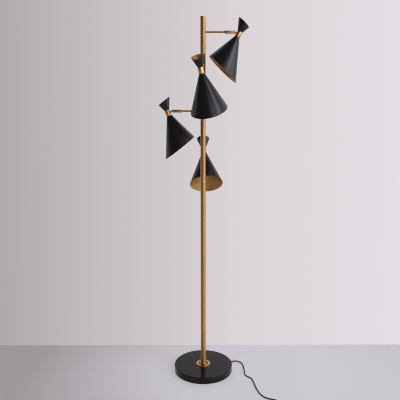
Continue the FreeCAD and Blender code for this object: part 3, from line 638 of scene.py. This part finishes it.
def floor_paint(stage):
    """Matt paint with a slight mottle, and a painted fall-off of light: it darkens away from the lamp, most of all
    to the left, away from the window.
    """
    finish = Finish("floor_paint")
    away = finish.node("VectorMath", {0: finish.place}, operation="LENGTH").outputs["Value"]
    left = finish.node("VectorMath", {0: finish.place, 1: FLOOR_SHADE_LEFT}, operation="DOT_PRODUCT")
    # Painted shade: darker with distance from the lamp, and more so to the left.
    depth = finish.math("MULTIPLY_ADD", away, FLOOR_NEAR, left.outputs["Value"])
    shown = finish.tint(depth, stage.floor, stage.floor_far_shaded, *FLOOR_LIGHT_FALLOFF)
    finish.coat(shown, finish.spread(finish.noise(9, 5), 0.55, 0.65))
    glow = finish.math("MULTIPLY", finish.plain_rays(), stage.floor_glow)
    finish.feed({"Emission Color": shown, "Emission Strength": glow})
    return finish.material


def wall_paint(stage):
    """Matt paint with a painted fall-off of light: lighter to the right, near the window. It shows plainly, and
    from behind not at all.
    """
    finish = Finish("wall_paint", {"Roughness": 0.8})
    across = finish.node("SeparateXYZ", {0: finish.place}).outputs["X"]
    # Painted light: the colour runs from the shaded left to the lit right.
    ramp, middle = finish.spread(across, 0, 1, *WALL_SPAN), (WALL_MIDDLE, stage.wall_middle)
    shown = finish.tint(ramp, stage.wall_left, stage.wall_right, 0, 1, middle)
    finish.feed({"Base Color": shown})
    plain = finish.node("Emission", {"Color": shown})
    front = finish.mixed(finish.plain_rays(), finish.shader, plain)
    behind = finish.node("NewGeometry").outputs["Backfacing"]
    both = finish.mixed(behind, front, finish.node("BsdfTransparent"))
    finish.fill(finish.tree.nodes["Material Output"].inputs["Surface"], both.outputs[0])
    return finish.material


# Each finish: its slot in the record, what makes it, and what that is told.
FINISHES = {
    "brass_turned": ("satin_brass", satin_brass),
    "brass_tube_x": ("satin_brass", satin_brass, "X"),
    "brass_tube_y": ("satin_brass", satin_brass, "Y"),
    "brass_tube_z": ("satin_brass", satin_brass, "Z"),
    "brass_flange": ("satin_brass", flange_brass_shaded),
    "ring_polished": ("satin_brass", polished_ring_glint),
    "steel": ("plain_steel", plain_steel),
    "shade_black": ("black_shade", powder_coat),
    "shade_gold": ("satin_brass", gold_lining),
    "base_enamel": ("black_enamel", gloss_enamel),
    "iron": ("grey_iron", cast_iron),
    "foot_rubber": ("foot_pad", moulded, (0.03, 0.03, 0.03), 0.75, 0.08),
    "cord_vinyl": ("black_cord", moulded, (0.004, 0.004, 0.005), 0.5, 0.02),
    "relief_rubber": ("cord_rubber", moulded, (0.014, 0.014, 0.014), 0.5, 0.03, True),
    "holder_phenolic": ("black_phenolic", moulded, (0.016, 0.015, 0.014), 0.25, 0.01, True),
    "switch_plastic": ("black_housing", moulded, (0.018, 0.018, 0.019), 0.42, 0.05),
    "button_plastic": ("black_button", moulded, (0.02, 0.02, 0.021), 0.25, 0.01, True),
    "plug_plastic": ("black_plug", moulded, (0.015, 0.015, 0.016), 0.36, 0.03, True),
    "bulb_opal": ("bulb_glass", opal_glass),
}

# The finishes of the CAD nodes that stay, by slot, and of the arms, by the way that they run.
SLOT_FINISHES = {
    "black_enamel": "base_enamel",
    "grey_iron": "iron",
    "foot_pad": "foot_rubber",
    "plain_steel": "steel",
    "satin_brass": "brass_tube_z",
    "black_housing": "switch_plastic",
}
ARM_FINISHES = {f"arm_tube_{number}": f"brass_tube_{way}" for number, way in zip(LAMPS, "xyxy")}


def finish_of(kind):
    """Each finish is made once and shared."""
    if kind not in bpy.data.materials:
        _, make, *told = FINISHES[kind]
        make(kind, *told)
    return bpy.data.materials[kind]


# The camera, the stage and the lights


class LAMP_OT_camera(bpy.types.Operator):
    """Set the camera where the photograph was taken from"""

    bl_idname = "lamp.camera"
    bl_label = "Camera"

    def execute(self, context):
        data = bpy.data.cameras.new("camera")
        data.sensor_width = 36
        data.lens = CAMERA["lens"]
        camera = add_object("camera", data)
        look, roll = turned(90 - CAMERA["down"], "X"), turned(CAMERA["roll"], "Z")
        camera.matrix_world = Matrix.Translation(CAMERA["place"]) @ look @ roll
        context.scene.camera = camera
        context.scene.cycles.filter_width = PIXEL_FILTER
        return {"FINISHED"}


def add_sheet(name, side, paint):
    """Draws the line between two (y, z) points out across the room."""
    mesh = bmesh.new()
    ends = (-HALF_ROOM, HALF_ROOM)
    low, high = ([mesh.verts.new((x, *point)) for x in ends] for point in side)
    mesh.faces.new((*low, *reversed(high)))
    sheet = add_mesh(name, mesh)
    sheet.data.materials.append(paint)


def add_window(stage):
    data = bpy.data.lights.new("window", "AREA")
    data.shape = "RECTANGLE"
    data.size, data.size_y = WINDOW["size"]
    data.energy = stage.window_power
    data.color = LIGHT_COLOUR
    light = add_object("window", data)
    light.location = WINDOW["place"]
    way = Vector(WINDOW["target"]) - Vector(WINDOW["place"])
    light.rotation_euler = way.to_track_quat("-Z", "Y").to_euler()


def light_room(stage):
    """A room that is bright on the right and dim on the left, and plain to look at."""
    world = bpy.data.worlds.new("room")
    room = Nodes(world)
    way = room.node("TexCoord").outputs["Generated"]
    aside = room.falloff(way, BRIGHT_SIDE, BRIGHT_EDGE, (0, 1))
    low = room.falloff(way, (0, 0, 1), WINDOW_TOP, (1, 0))
    both = room.math("MULTIPLY", aside, low)
    light = room.tree.nodes["Background"]
    room.fill(light.inputs["Color"], LIGHT_COLOUR)
    level = room.spread(both, stage.sky_dim, stage.sky_bright, 0, 1)
    room.fill(light.inputs["Strength"], level)
    plain = room.node("Background", {"Color": stage.floor})
    mix = room.mixed(room.node("LightPath").outputs["Is Camera Ray"], light, plain)
    room.fill(room.tree.nodes["World Output"].inputs["Surface"], mix.outputs[0])
    bpy.context.scene.world = world


class LAMP_OT_stage(bpy.types.Operator):
    """Add the pale floor, the wall and the soft lights"""

    bl_idname = "lamp.stage"
    bl_label = "Stage"

    def execute(self, context):
        stage = context.scene.lamp_stage
        foot, top = stage.wall_distance, stage.wall_distance + WALL_LEAN * WALL_HEIGHT
        add_sheet("floor", ((-HALF_ROOM, 0), (HALF_ROOM, 0)), floor_paint(stage))
        add_sheet("wall", ((foot, 0), (top, WALL_HEIGHT)), wall_paint(stage))
        add_window(stage)
        light_room(stage)
        context.scene.view_settings.view_transform = "Standard"
        return {"FINISHED"}


# The lamp's pieces


def route():
    """The cord's control points in millimetres, from the base to the plug."""
    tip = GLAND["flange"] + GLAND["sleeve"]
    starts = (tip, tip + FIRST_RUN)
    points = [gland_place() @ Vector((reach * MM, 0, 0)) / MM for reach in starts]
    points += [Vector(point) for point in CORD_ROUTE]
    points += [switch_point(along, height) for along, height in SWITCH_ROUTE]
    count = int((2 * COIL["turns"] + COIL["climb"]) * COIL_STEPS)
    points += [coil_point(step / COIL_STEPS) for step in range(count + 1)]
    end, way = plug_entry()
    points += [end - way * LAST_RUN["straight"], end]
    return points


def coil_point(turns):
    """A point of the coil: a layer in, half a turn up and a layer out again."""
    centre, first, outside, inside = coil_layout()
    layer, pitch, climb = COIL["turns"], COIL["pitch"], COIL["climb"]
    radius, height = outside - pitch * turns, 0.0
    if turns > layer + climb:
        radius, height = inside + pitch * (turns - layer - climb), pitch
    elif turns > layer:
        share = (turns - layer) / climb
        radius = inside - climb * pitch * share * (1 - share)
        height = pitch * share * share * (3 - 2 * share)
    angle = first - math.tau * turns
    height += CORD_DIAMETER / 2
    return centre + Vector((radius * math.cos(angle), radius * math.sin(angle), height))


def coil_layout():
    """The coil's centre, the direction of its first point, and its two radii."""
    spread = COIL["pitch"] * COIL["turns"]
    outside = COIL["middle"] + spread / 2
    heading = switch_place().to_3x3() @ Vector((1, 0, 0))
    sideways = Vector((heading.y, -heading.x, 0))
    start = switch_point(SWITCH["length"] + COIL["lead_in"], 0)
    first = math.atan2(-sideways.y, -sideways.x)
    return start + sideways * outside, first, outside, outside - spread


def plug_entry():
    """Where the cord enters the plug, and its way there."""
    end = 2 * COIL["turns"] + COIL["climb"]
    point = coil_point(end)
    way = point - coil_point(end - 1e-4)
    way.z = 0
    way.normalize()
    entry = point + way * LAST_RUN["length"]
    entry.z = PLUG["thickness"] / 2
    return entry, way


def add_gland():
    """Rubber gland with a ribbed, tapered sleeve."""
    flange, sleeve = GLAND["flange"], GLAND["sleeve"]
    outline = [(3.0, -1.0), (4.4, -1.0), (4.4, 0), (6.5, 0), (6.5, flange), (5.2, flange)]
    ribs = 5
    step = (sleeve - 1.0) / ribs
    for rib in range(ribs):
        start = flange + rib * step
        radius = 5.2 - 1.4 * rib / ribs
        outline += [
            (radius, start + 0.6 * step),
            (radius - 0.7, start + 0.66 * step),
            (radius - 0.7, start + 0.94 * step),
            (radius - 0.28, start + step),
        ]
    outline += [(3.8, flange + sleeve), (3.0, flange + sleeve)]
    mesh = spun(outline, {3: 0.5, 4: 0.8}, steps=40)
    along = gland_place() @ turned(90, "Y")
    return add_piece("cord_gland", mesh, along, "relief_rubber", "stand", "strain_relief")


def add_housing():
    """Rounded switch housing with a seam round it, a well for the button and grip grooves."""
    width, height, seam = SWITCH["width"], SWITCH["height"], SWITCH["seam"]
    mesh = bmesh.new()
    block(mesh, (0, -width / 2, 0), (SWITCH["length"], width / 2, height))
    soften(mesh, [edge for edge in mesh.edges if upright(edge)], 8, 8)
    for level in (seam - 0.4, seam, seam + 0.4):
        bmesh.ops.bisect_plane(
            mesh, geom=everything(mesh), plane_co=(0, 0, level * MM), plane_no=(0, 0, 1)
        )
    mesh.normal_update()
    for corner in mesh.verts:
        if abs(corner.co.z / MM - seam) < 0.1:
            corner.co -= corner.normal * 0.5 * MM
    for inside, round_over, segments in (
        (lambda corner: corner.co.z > (height - 0.1) * MM, 4, 6),
        (lambda corner: corner.co.z < 0.1 * MM, 0.8, 2),
    ):
        edges = [edge for edge in mesh.edges if all(inside(corner) for corner in edge.verts)]
        rim = [edge for edge in edges if edge.calc_face_angle(0) > 1]
        soften(mesh, rim, round_over, segments)
    mesh = carved(mesh, housing_tool())
    rim = sharp_edges(mesh, 30, lambda edge: edge.verts[0].co.z > (height - 1) * MM)
    soften(mesh, rim, 0.2, 2)
    place = switch_place()
    return add_piece("switch_housing", mesh, place, "switch_plastic", "stand", "foot_switch")


def upright(edge):
    way = edge.verts[0].co - edge.verts[1].co
    return abs(way.z) > 10 * way.to_2d().length


def housing_tool():
    """What is cut out of the switch housing: the well and three grooves at each end."""
    middle, height = SWITCH["length"] / 2, SWITCH["height"]
    well, floor = BUTTON_WELL["radius"], BUTTON_WELL["floor"]
    outline = [(0, floor), (well, floor), (well, height - 1), (well + 1, height)]
    tool = spun([*outline, (well + 1, height + 2), (0, height + 2)], closed=False)
    bmesh.ops.translate(tool, vec=(middle * MM, 0, 0), verts=tool.verts[:])
    half, reach, floor = GRIP["half_width"], GRIP["reach"], height - GRIP["depth"]
    for side in (-1, 1):
        for groove in range(GRIP["grooves"]):
            at = middle + side * (GRIP["first"] + GRIP["pitch"] * groove)
            block(tool, (at - half, -reach, floor), (at + half, reach, height + 1))
    return tool


def add_button():
    """Push button with a dished, ringed top."""
    low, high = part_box("foot_button")
    middle = (low + high) / 2
    radius, height = (high.x - low.x) / 2 / MM, (high.z - low.z) / MM
    outline = [(0, 0), (radius, 0), (radius, height)]
    for ring in (9.0, 7.0, 5.0):
        outline += [(ring + 0.5, height), (ring, height - 0.4), (ring - 0.5, height)]
    outline.append((0, height - 0.2))
    mesh = spun(outline, {2: 1.0}, steps=56, closed=False)
    place = Matrix.Translation((middle.x, middle.y, low.z))
    name, kind = "switch_button", "button_plastic"
    return add_piece(name, mesh, place, kind, "foot_button", "foot_button")


def add_sleeves():
    """Short tapered sleeves where the cord enters and leaves the foot switch."""
    made = []
    for name, along, side in (("in", 0, -1), ("out", SWITCH["length"], 1)):
        ends = [(3.05, 0), (5.0, 0), (5.0, side * 1.5), (3.8, side * 11), (3.05, side * 11)]
        mesh = spun(ends, {2: 0.5, 3: 0.4}, steps=36)
        place = switch_place() @ moved(along, 0, SWITCH["cord_height"]) @ turned(90, "Y")
        made.append(add_piece(f"switch_sleeve_{name}", mesh, place, "relief_rubber", "stand"))
    return made


def add_plug():
    """Flat plug with a waist to grip, a tapered tail and two round pins."""
    entry, way = plug_entry()
    turn = Matrix.Rotation(math.atan2(way.y, way.x), 4, "Z")
    place = Matrix.Translation(entry * MM) @ turn
    kind, body = "plug_plastic", "stand"
    made = [add_piece("plug_body", plug_mesh(), place, kind, body, "plug")]
    outline = [(3.0, 0), (3.8, 0), (4.8, 15), (4.8, 18), (3.0, 18)]
    tail = spun(outline, {1: 0.3, 2: 0.6}, steps=36)
    made.append(add_piece("plug_tail", tail, place @ turned(90, "Y"), kind, body))
    root, bare, tip = PLUG_PINS["root"], PLUG_PINS["bare"], PLUG_PINS["tip"]
    sleeve, radius = PLUG_PINS["sleeve"], PLUG_PINS["radius"]
    for number, side in enumerate((-1, 1), start=1):
        at = place @ moved(0, side * PLUG_PINS["apart"], 0) @ turned(90, "Y")
        mesh = rod(sleeve, root, bare, steps=28)
        made.append(add_piece(f"plug_pin_sleeve_{number}", mesh, at, kind, body))
        mesh = rod(radius, bare, tip, {2: 1.3}, steps=28)
        made.append(add_piece(f"plug_pin_{number}", mesh, at, "steel", body))
    return made


def plug_mesh():
    """The plug's grip, narrow and a little thinner at the tail."""
    back, front, half = PLUG["back"], PLUG["front"], PLUG["thickness"] / 2
    mesh = bmesh.new()
    low, high = (back, -PLUG["half_width"], -half), (front, PLUG["half_width"], half)
    end = [corner for corner in block(mesh, low, high) if corner.co.x < (back + 1) * MM]
    for corner in end:
        corner.co.y *= 0.3
        corner.co.z *= 0.8
    sides = [edge for edge in mesh.edges if len({corner in end for corner in edge.verts}) == 2]
    bmesh.ops.subdivide_edges(mesh, edges=sides, cuts=3)
    for corner in mesh.verts:
        share = (corner.co.x / MM - back) / (front - back)
        swell = math.sin(min(1.0, share * 1.7) * math.pi / 2)
        width = PLUG["tail"] + (PLUG["half_width"] - PLUG["tail"]) * swell
        corner.co.y = math.copysign(width * MM, corner.co.y)
    soften(mesh, sharp_edges(mesh, 30), 2.6, 4)
    return mesh


class LAMP_OT_cord(bpy.types.Operator):
    """Lay the cord over the floor, through the foot switch and round its coil to the plug"""

    bl_idname = "lamp.cord"
    bl_label = "Cord"

    def execute(self, context):
        points = route()
        curve = bpy.data.curves.new("power_cord", "CURVE")
        curve.dimensions = "3D"
        curve.bevel_depth = CORD_DIAMETER / 2 * MM
        curve.bevel_resolution = 5
        curve.resolution_u = 5
        curve.use_fill_caps = True
        line = curve.splines.new("NURBS")
        line.points.add(len(points) - 1)
        for point, place in zip(line.points, points):
            point.co = (*(place * MM), 1)
        line.order_u = 3
        line.use_endpoint_u = True
        curve.materials.append(finish_of("cord_vinyl"))
        cord = add_object("power_cord", curve)
        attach(cord, "stand")
        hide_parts("cord", "cord_coil")
        pieces = [add_housing(), add_gland(), add_button()]
        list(add_sleeves())
        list(add_plug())
        return {"FINISHED"}


class LAMP_OT_base(bpy.types.Operator):
    """Add the brass foot of the pole"""

    bl_idname = "lamp.base"
    bl_label = "Base"

    def execute(self, context):
        mesh, place = spun(FOOT, FOOT_ROUNDS, steps=96), Matrix.Identity(4)
        add_piece("pole_foot", mesh, place, "brass_flange", "stand", "foot_flange")
        return {"FINISHED"}


class LAMP_OT_pole(bpy.types.Operator):
    """Add the pole's cap and the bright ring where its two tubes meet"""

    bl_idname = "lamp.pole"
    bl_label = "Pole"

    def execute(self, context):
        place = Matrix.Identity(4)
        low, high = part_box("pole_cap")
        top, under = high.z / MM, low.z / MM
        spigot, radius, rim = POLE_TOP["spigot"], POLE_TOP["radius"], top - POLE_TOP["rim"]
        outline = [(0, under), (spigot, under), (spigot, rim)]
        outline += [(radius, rim), (radius, top), (0, top)]
        mesh = spun(outline, {3: 0.2, 4: 0.7}, closed=False)
        add_piece("pole_top", mesh, place, "brass_turned", "stand", "pole_cap")
        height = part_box("lower_pole")[1].z / MM
        outline = [(radius, height + above) for radius, above in JOINT_RING]
        mesh = spun(outline, {1: 0.3, 2: 0.5}, steps=96)
        add_piece("joint_ring", mesh, place, "ring_polished", "stand")
        return {"FINISHED"}


def knuckle_mesh(half_slot, hole_radius):
    """Sleeve with a domed end, slotted for the shade's tongue."""
    start, bore_end = -KNUCKLE["start"], -KNUCKLE["bore_end"]
    radius, dome = KNUCKLE["radius"], KNUCKLE["dome"]
    outline = [(0, bore_end), (ARM_BORE, bore_end), (ARM_BORE, start), (radius, start)]
    steps = 12
    for step in range(steps):
        angle = math.pi / 2 * step / steps
        outline.append((radius * math.cos(angle), dome * math.sin(angle)))
    outline.append((0, dome))
    mesh = spun(outline, {3: 0.7}, closed=False)
    bmesh.ops.rotate(mesh, matrix=turned(90, "Y").to_3x3(), verts=mesh.verts[:])
    slot = bmesh.new()
    far = radius + 1
    block(slot, (-SLOT_FLOOR, -half_slot, -far), (far, half_slot, far))
    hole = bmesh.new()
    bmesh.ops.create_cone(
        hole,
        cap_ends=True,
        segments=32,
        radius1=hole_radius * MM,
        radius2=hole_radius * MM,
        depth=3 * far * MM,
        matrix=turned(90, "X"),
    )
    mesh = carved(carved(mesh, slot), hole)
    soften(mesh, sharp_edges(mesh, 50, lambda edge: edge.verts[0].co.x > -8 * MM), 0.15, 2)
    return mesh


def screw_mesh(radius):
    """The pin across the knuckle, slotted at both ends."""
    end = SCREW_HALF_LENGTH
    mesh = rod(radius, -end, end, {1: 0.3, 2: 0.3})
    slots = bmesh.new()
    for side in (-1, 1):
        low, high = sorted((side * (end - 0.6), side * (end + 1)))
        block(slots, (-0.25, -2, low), (0.25, 2, high))
    return carved(mesh, slots)


class LAMP_OT_knuckles(bpy.types.Operator):
    """Add the slotted knuckles and their screws"""

    bl_idname = "lamp.knuckles"
    bl_label = "Knuckles"

    def execute(self, context):
        sizes = context.scene.lamp_sizes
        slot, screw = sizes.slot_width / 2 / MM, sizes.screw_diameter / 2 / MM
        for number in LAMPS:
            node, place = f"knuckle_{number}", knuckle_place(number)
            mesh = knuckle_mesh(slot, screw + 0.05)
            add_piece(f"knuckle_body_{number}", mesh, place, "brass_turned", node, node)
            mesh, name, pin = screw_mesh(screw), f"pivot_screw_{number}", f"pivot_pin_{number}"
            add_piece(name, mesh, place @ turned(90, "X"), "steel", node, pin)
        return {"FINISHED"}


def collar_mesh():
    hole, radius, end = NIPPLE_HOLE, COLLAR_RADIUS, HALF_COLLAR
    outline = [(hole, -end), (radius, -end), (radius, end), (hole, end)]
    return spun(outline, {1: 0.7, 2: 0.7}, steps=96)


def nut_mesh():
    """Hexagonal brass nut with its corners turned off."""
    low = HALF_COLLAR + CONE_WALL
    high, flat = low + SHADE_NUT["height"], SHADE_NUT["across"] / 2
    corner = flat / math.cos(math.radians(30))
    mesh = rod(corner, low, high, steps=6)
    outline = [(flat, high + 1), (flat, high), (corner, high - 0.6 * (corner - flat))]
    outline += [(corner, low - 1), (corner + 2, low - 1), (corner + 2, high + 1)]
    mesh = carved(mesh, spun(outline, steps=60))
    bore = NIPPLE_HOLE
    outline = [(0, low - 1), (bore, low - 1), (bore, high - 0.5)]
    outline += [(bore + 1, high + 0.5), (0, high + 0.5)]
    mesh = carved(mesh, spun(outline, steps=60, closed=False))
    soften(mesh, sharp_edges(mesh, 40), 0.12, 2)
    return mesh


def nipple_mesh():
    """Tube with rolled rings for its thread, inside the collar."""
    top = HALF_COLLAR + CONE_WALL + SHADE_NUT["height"] + NIPPLE["up"]
    bottom = -(HALF_COLLAR + CONE_WALL + NIPPLE["down"])
    bore, end, crest, pitch = (NIPPLE[key] for key in ("bore", "end", "crest", "pitch"))
    outline = [(bore, top), (bore, bottom), (end, bottom)]
    for ring in range(int((top - bottom) / pitch) - 1):
        start = bottom + 0.4 + ring * pitch
        outline += [(crest, start + 0.3), (crest, start + 0.45), (NIPPLE["root"], start + 0.9)]
    outline.append((end, top))
    return spun(outline, steps=40)


def cone_mesh(cone, up, outer, inner, set_back):
    """One layer of a cone's wall, with a flat neck and a slanting rim."""
    far = HALF_COLLAR + CONE_HEIGHTS[cone] * 1.3
    outline = []
    for share, way in ((outer, 1), (inner, -1)):
        neck, depth = HALF_COLLAR + share * CONE_WALL, share * CONE_WALL / math.cos(CONE_ANGLE)
        side = [(NIPPLE_HOLE, neck * up)]
        for height in (neck, far):
            radius = CONE_NECK + math.tan(CONE_ANGLE) * (height - HALF_COLLAR)
            side.append((radius - depth, height * up))
        outline += side[::way]
    mesh = spun(outline, steps=128)
    cut_rim(mesh, cone, up, set_back)
    return mesh


def cut_rim(mesh, cone, up, set_back):
    """Cuts the wall off at the rim, closes the cut and rounds the two edges of a shell."""
    height = (HALF_COLLAR + CONE_HEIGHTS[cone] - set_back) * up
    cut = bmesh.ops.bisect_plane(
        mesh,
        geom=everything(mesh),
        dist=1e-7,
        plane_co=(0, 0, height * MM),
        plane_no=Vector((RIM_SLOPE, 0, 1)).normalized() * up,
        clear_outer=True,
    )["geom_cut"]
    edges = [item for item in cut if isinstance(item, bmesh.types.BMEdge)]
    made = bmesh.ops.bridge_loops(mesh, edges=edges)
    bmesh.ops.recalc_face_normals(mesh, faces=mesh.faces[:])
    if not set_back:
        rim = {edge for face in made["faces"] for edge in face.edges if edge in edges}
        soften(mesh, list(rim), 0.25, 2)


class LAMP_OT_shades(bpy.types.Operator):
    """Add the brass waists and the black cones with their gold linings"""

    bl_idname = "lamp.shades"
    bl_label = "Shades"

    def execute(self, context):
        for number in LAMPS:
            place, body = shade_place(number), f"shade_{number}"
            for name, mesh, kind, node in (
                ("collar_ring", collar_mesh(), "brass_turned", "collar"),
                ("hex_nut", nut_mesh(), "brass_turned", "shade_nut"),
                ("threaded_nipple", nipple_mesh(), "steel", "shade_nipple"),
            ):
                add_piece(f"{name}_{number}", mesh, place, kind, body, f"{node}_{number}")
            for cone, up in (("big_cone", -1), ("small_cone", 1)):
                name, shell = f"{cone}_shell_{number}", cone_mesh(cone, up, **SHELL)
                add_piece(name, shell, place, "shade_black", body, f"{cone}_{number}")
                name, lining = f"{cone}_lining_{number}", cone_mesh(cone, up, **LINING)
                add_piece(name, lining, place, "shade_gold", body)
        return {"FINISHED"}


def holder_mesh():
    """Black holder with a waisted neck, a ribbed skirt and a rolled lip."""
    top, bottom = HOLDER_TOP, HOLDER_MOUTH
    radius, root, well = HOLDER["radius"], HOLDER["rib"], HOLDER["well"]
    outline = [(NIPPLE_HOLE, top), (8, top), (8, top - 9), (radius, top - 14)]
    for rib in range(HOLDER["ribs"]):
        start = top - 16.5 - rib * HOLDER["rib_pitch"]
        outline += [(radius, start), (root, start - 0.5), (root, start - 1.5), (radius, start - 2)]
    outline += [(radius, bottom), (well, bottom), (well, bottom + 19), (5.4, bottom + 19)]
    outline += [(5.4, top - 9), (NIPPLE_HOLE, top - 9)]
    return spun(outline, {1: 0.6, 2: 1.5, 3: 1.2})


def globe_mesh(radius):
    """Round globe that flows into its neck, up to the holder's mouth."""
    mouth = HOLDER_MOUTH
    centre = mouth - radius - 3
    outline = [(0, centre - radius)]
    steps = 20
    for step in range(1, steps + 1):
        angle = math.radians(-90 + step * (90 + 40) / steps)
        outline.append((radius * math.cos(angle), centre + radius * math.sin(angle)))
    outline += [(across, mouth + height) for across, height in BULB_NECK]
    return spun(outline, closed=False)


def cap_mesh():
    """The bulb's screw cap with the contact on its end."""
    mouth = HOLDER_MOUTH
    outline = [(0, mouth - 0.9), (6.4, mouth - 0.9)]
    for turn in range(CAP_THREAD["turns"]):
        start = mouth + turn * CAP_THREAD["pitch"]
        outline += [(CAP_THREAD["crest"], start + 0.7), (CAP_THREAD["root"], start + 2.1)]
    outline += [(across, mouth + height) for across, height in CAP_END]
    return spun(outline, steps=48, closed=False)


class LAMP_OT_lampholders(bpy.types.Operator):
    """Add the lampholders and the bulbs"""

    bl_idname = "lamp.lampholders"
    bl_label = "Lampholders and bulbs"

    def execute(self, context):
        radius = context.scene.lamp_sizes.bulb_diameter / 2 / MM
        for number in LAMPS:
            place, body = shade_place(number), f"shade_{number}"
            for name, mesh, kind, nodes in (
                ("holder_body", holder_mesh(), "holder_phenolic", [f"lampholder_{number}"]),
                ("bulb_globe", globe_mesh(radius), "bulb_opal", [f"bulb_{number}"]),
                ("bulb_cap", cap_mesh(), "steel", []),
            ):
                add_piece(f"{name}_{number}", mesh, place, kind, body, *nodes)
        return {"FINISHED"}


class LAMP_OT_finishes(bpy.types.Operator):
    """Give the pieces that stay as they are their finishes"""

    bl_idname = "lamp.finishes"
    bl_label = "Finishes"

    def execute(self, context):
        slots = {part["node"]: part["material_slot"] for part in frame["record"]["subparts"]}
        for name, node in frame["nodes"].items():
            kind = ARM_FINISHES.get(name) or SLOT_FINISHES.get(slots[name], "steel")
            node.material_slots[0].material = finish_of(kind)
        return {"FINISHED"}


class LAMP_PT_panel(bpy.types.Panel):
    """Lists the lamp's pieces and settings"""

    bl_label = "Tree Floor Lamp"
    bl_idname = "LAMP_PT_panel"
    bl_space_type = "VIEW_3D"
    bl_region_type = "UI"
    bl_category = "Lamp"

    def draw(self, context):
        for group in SETTINGS:
            settings, box = getattr(context.scene, group), self.layout.box()
            for name in settings.bl_rna.properties.keys():
                if name not in ("rna_type", "name"):
                    box.prop(settings, name)
        for step in STEPS:
            self.layout.operator(step.bl_idname)


STEPS = (
    LAMP_OT_camera,
    LAMP_OT_cord,
    LAMP_OT_stage,
    LAMP_OT_finishes,
    LAMP_OT_base,
    LAMP_OT_pole,
    LAMP_OT_knuckles,
    LAMP_OT_shades,
    LAMP_OT_lampholders,
)
SETTINGS = {
    "lamp_finishes": FinishSettings,
    "lamp_sizes": SizeSettings,
    "lamp_stage": StageSettings,
}
CLASSES = (*SETTINGS.values(), *STEPS, LAMP_PT_panel)


def register():
    for kind in CLASSES:
        bpy.utils.register_class(kind)
    for group, kind in SETTINGS.items():
        setattr(bpy.types.Scene, group, bpy.props.PointerProperty(type=kind))


def unregister():
    for group in SETTINGS:
        delattr(bpy.types.Scene, group)
    for kind in reversed(CLASSES):
        bpy.utils.unregister_class(kind)


def main():
    register()
    bpy.ops.lamp.camera()
    bpy.ops.lamp.cord()
    bpy.ops.lamp.stage()
    bpy.ops.lamp.finishes()
    bpy.ops.lamp.base()
    bpy.ops.lamp.pole()
    bpy.ops.lamp.knuckles()
    bpy.ops.lamp.shades()
    bpy.ops.lamp.lampholders()


if __name__ == "__main__":
    main()
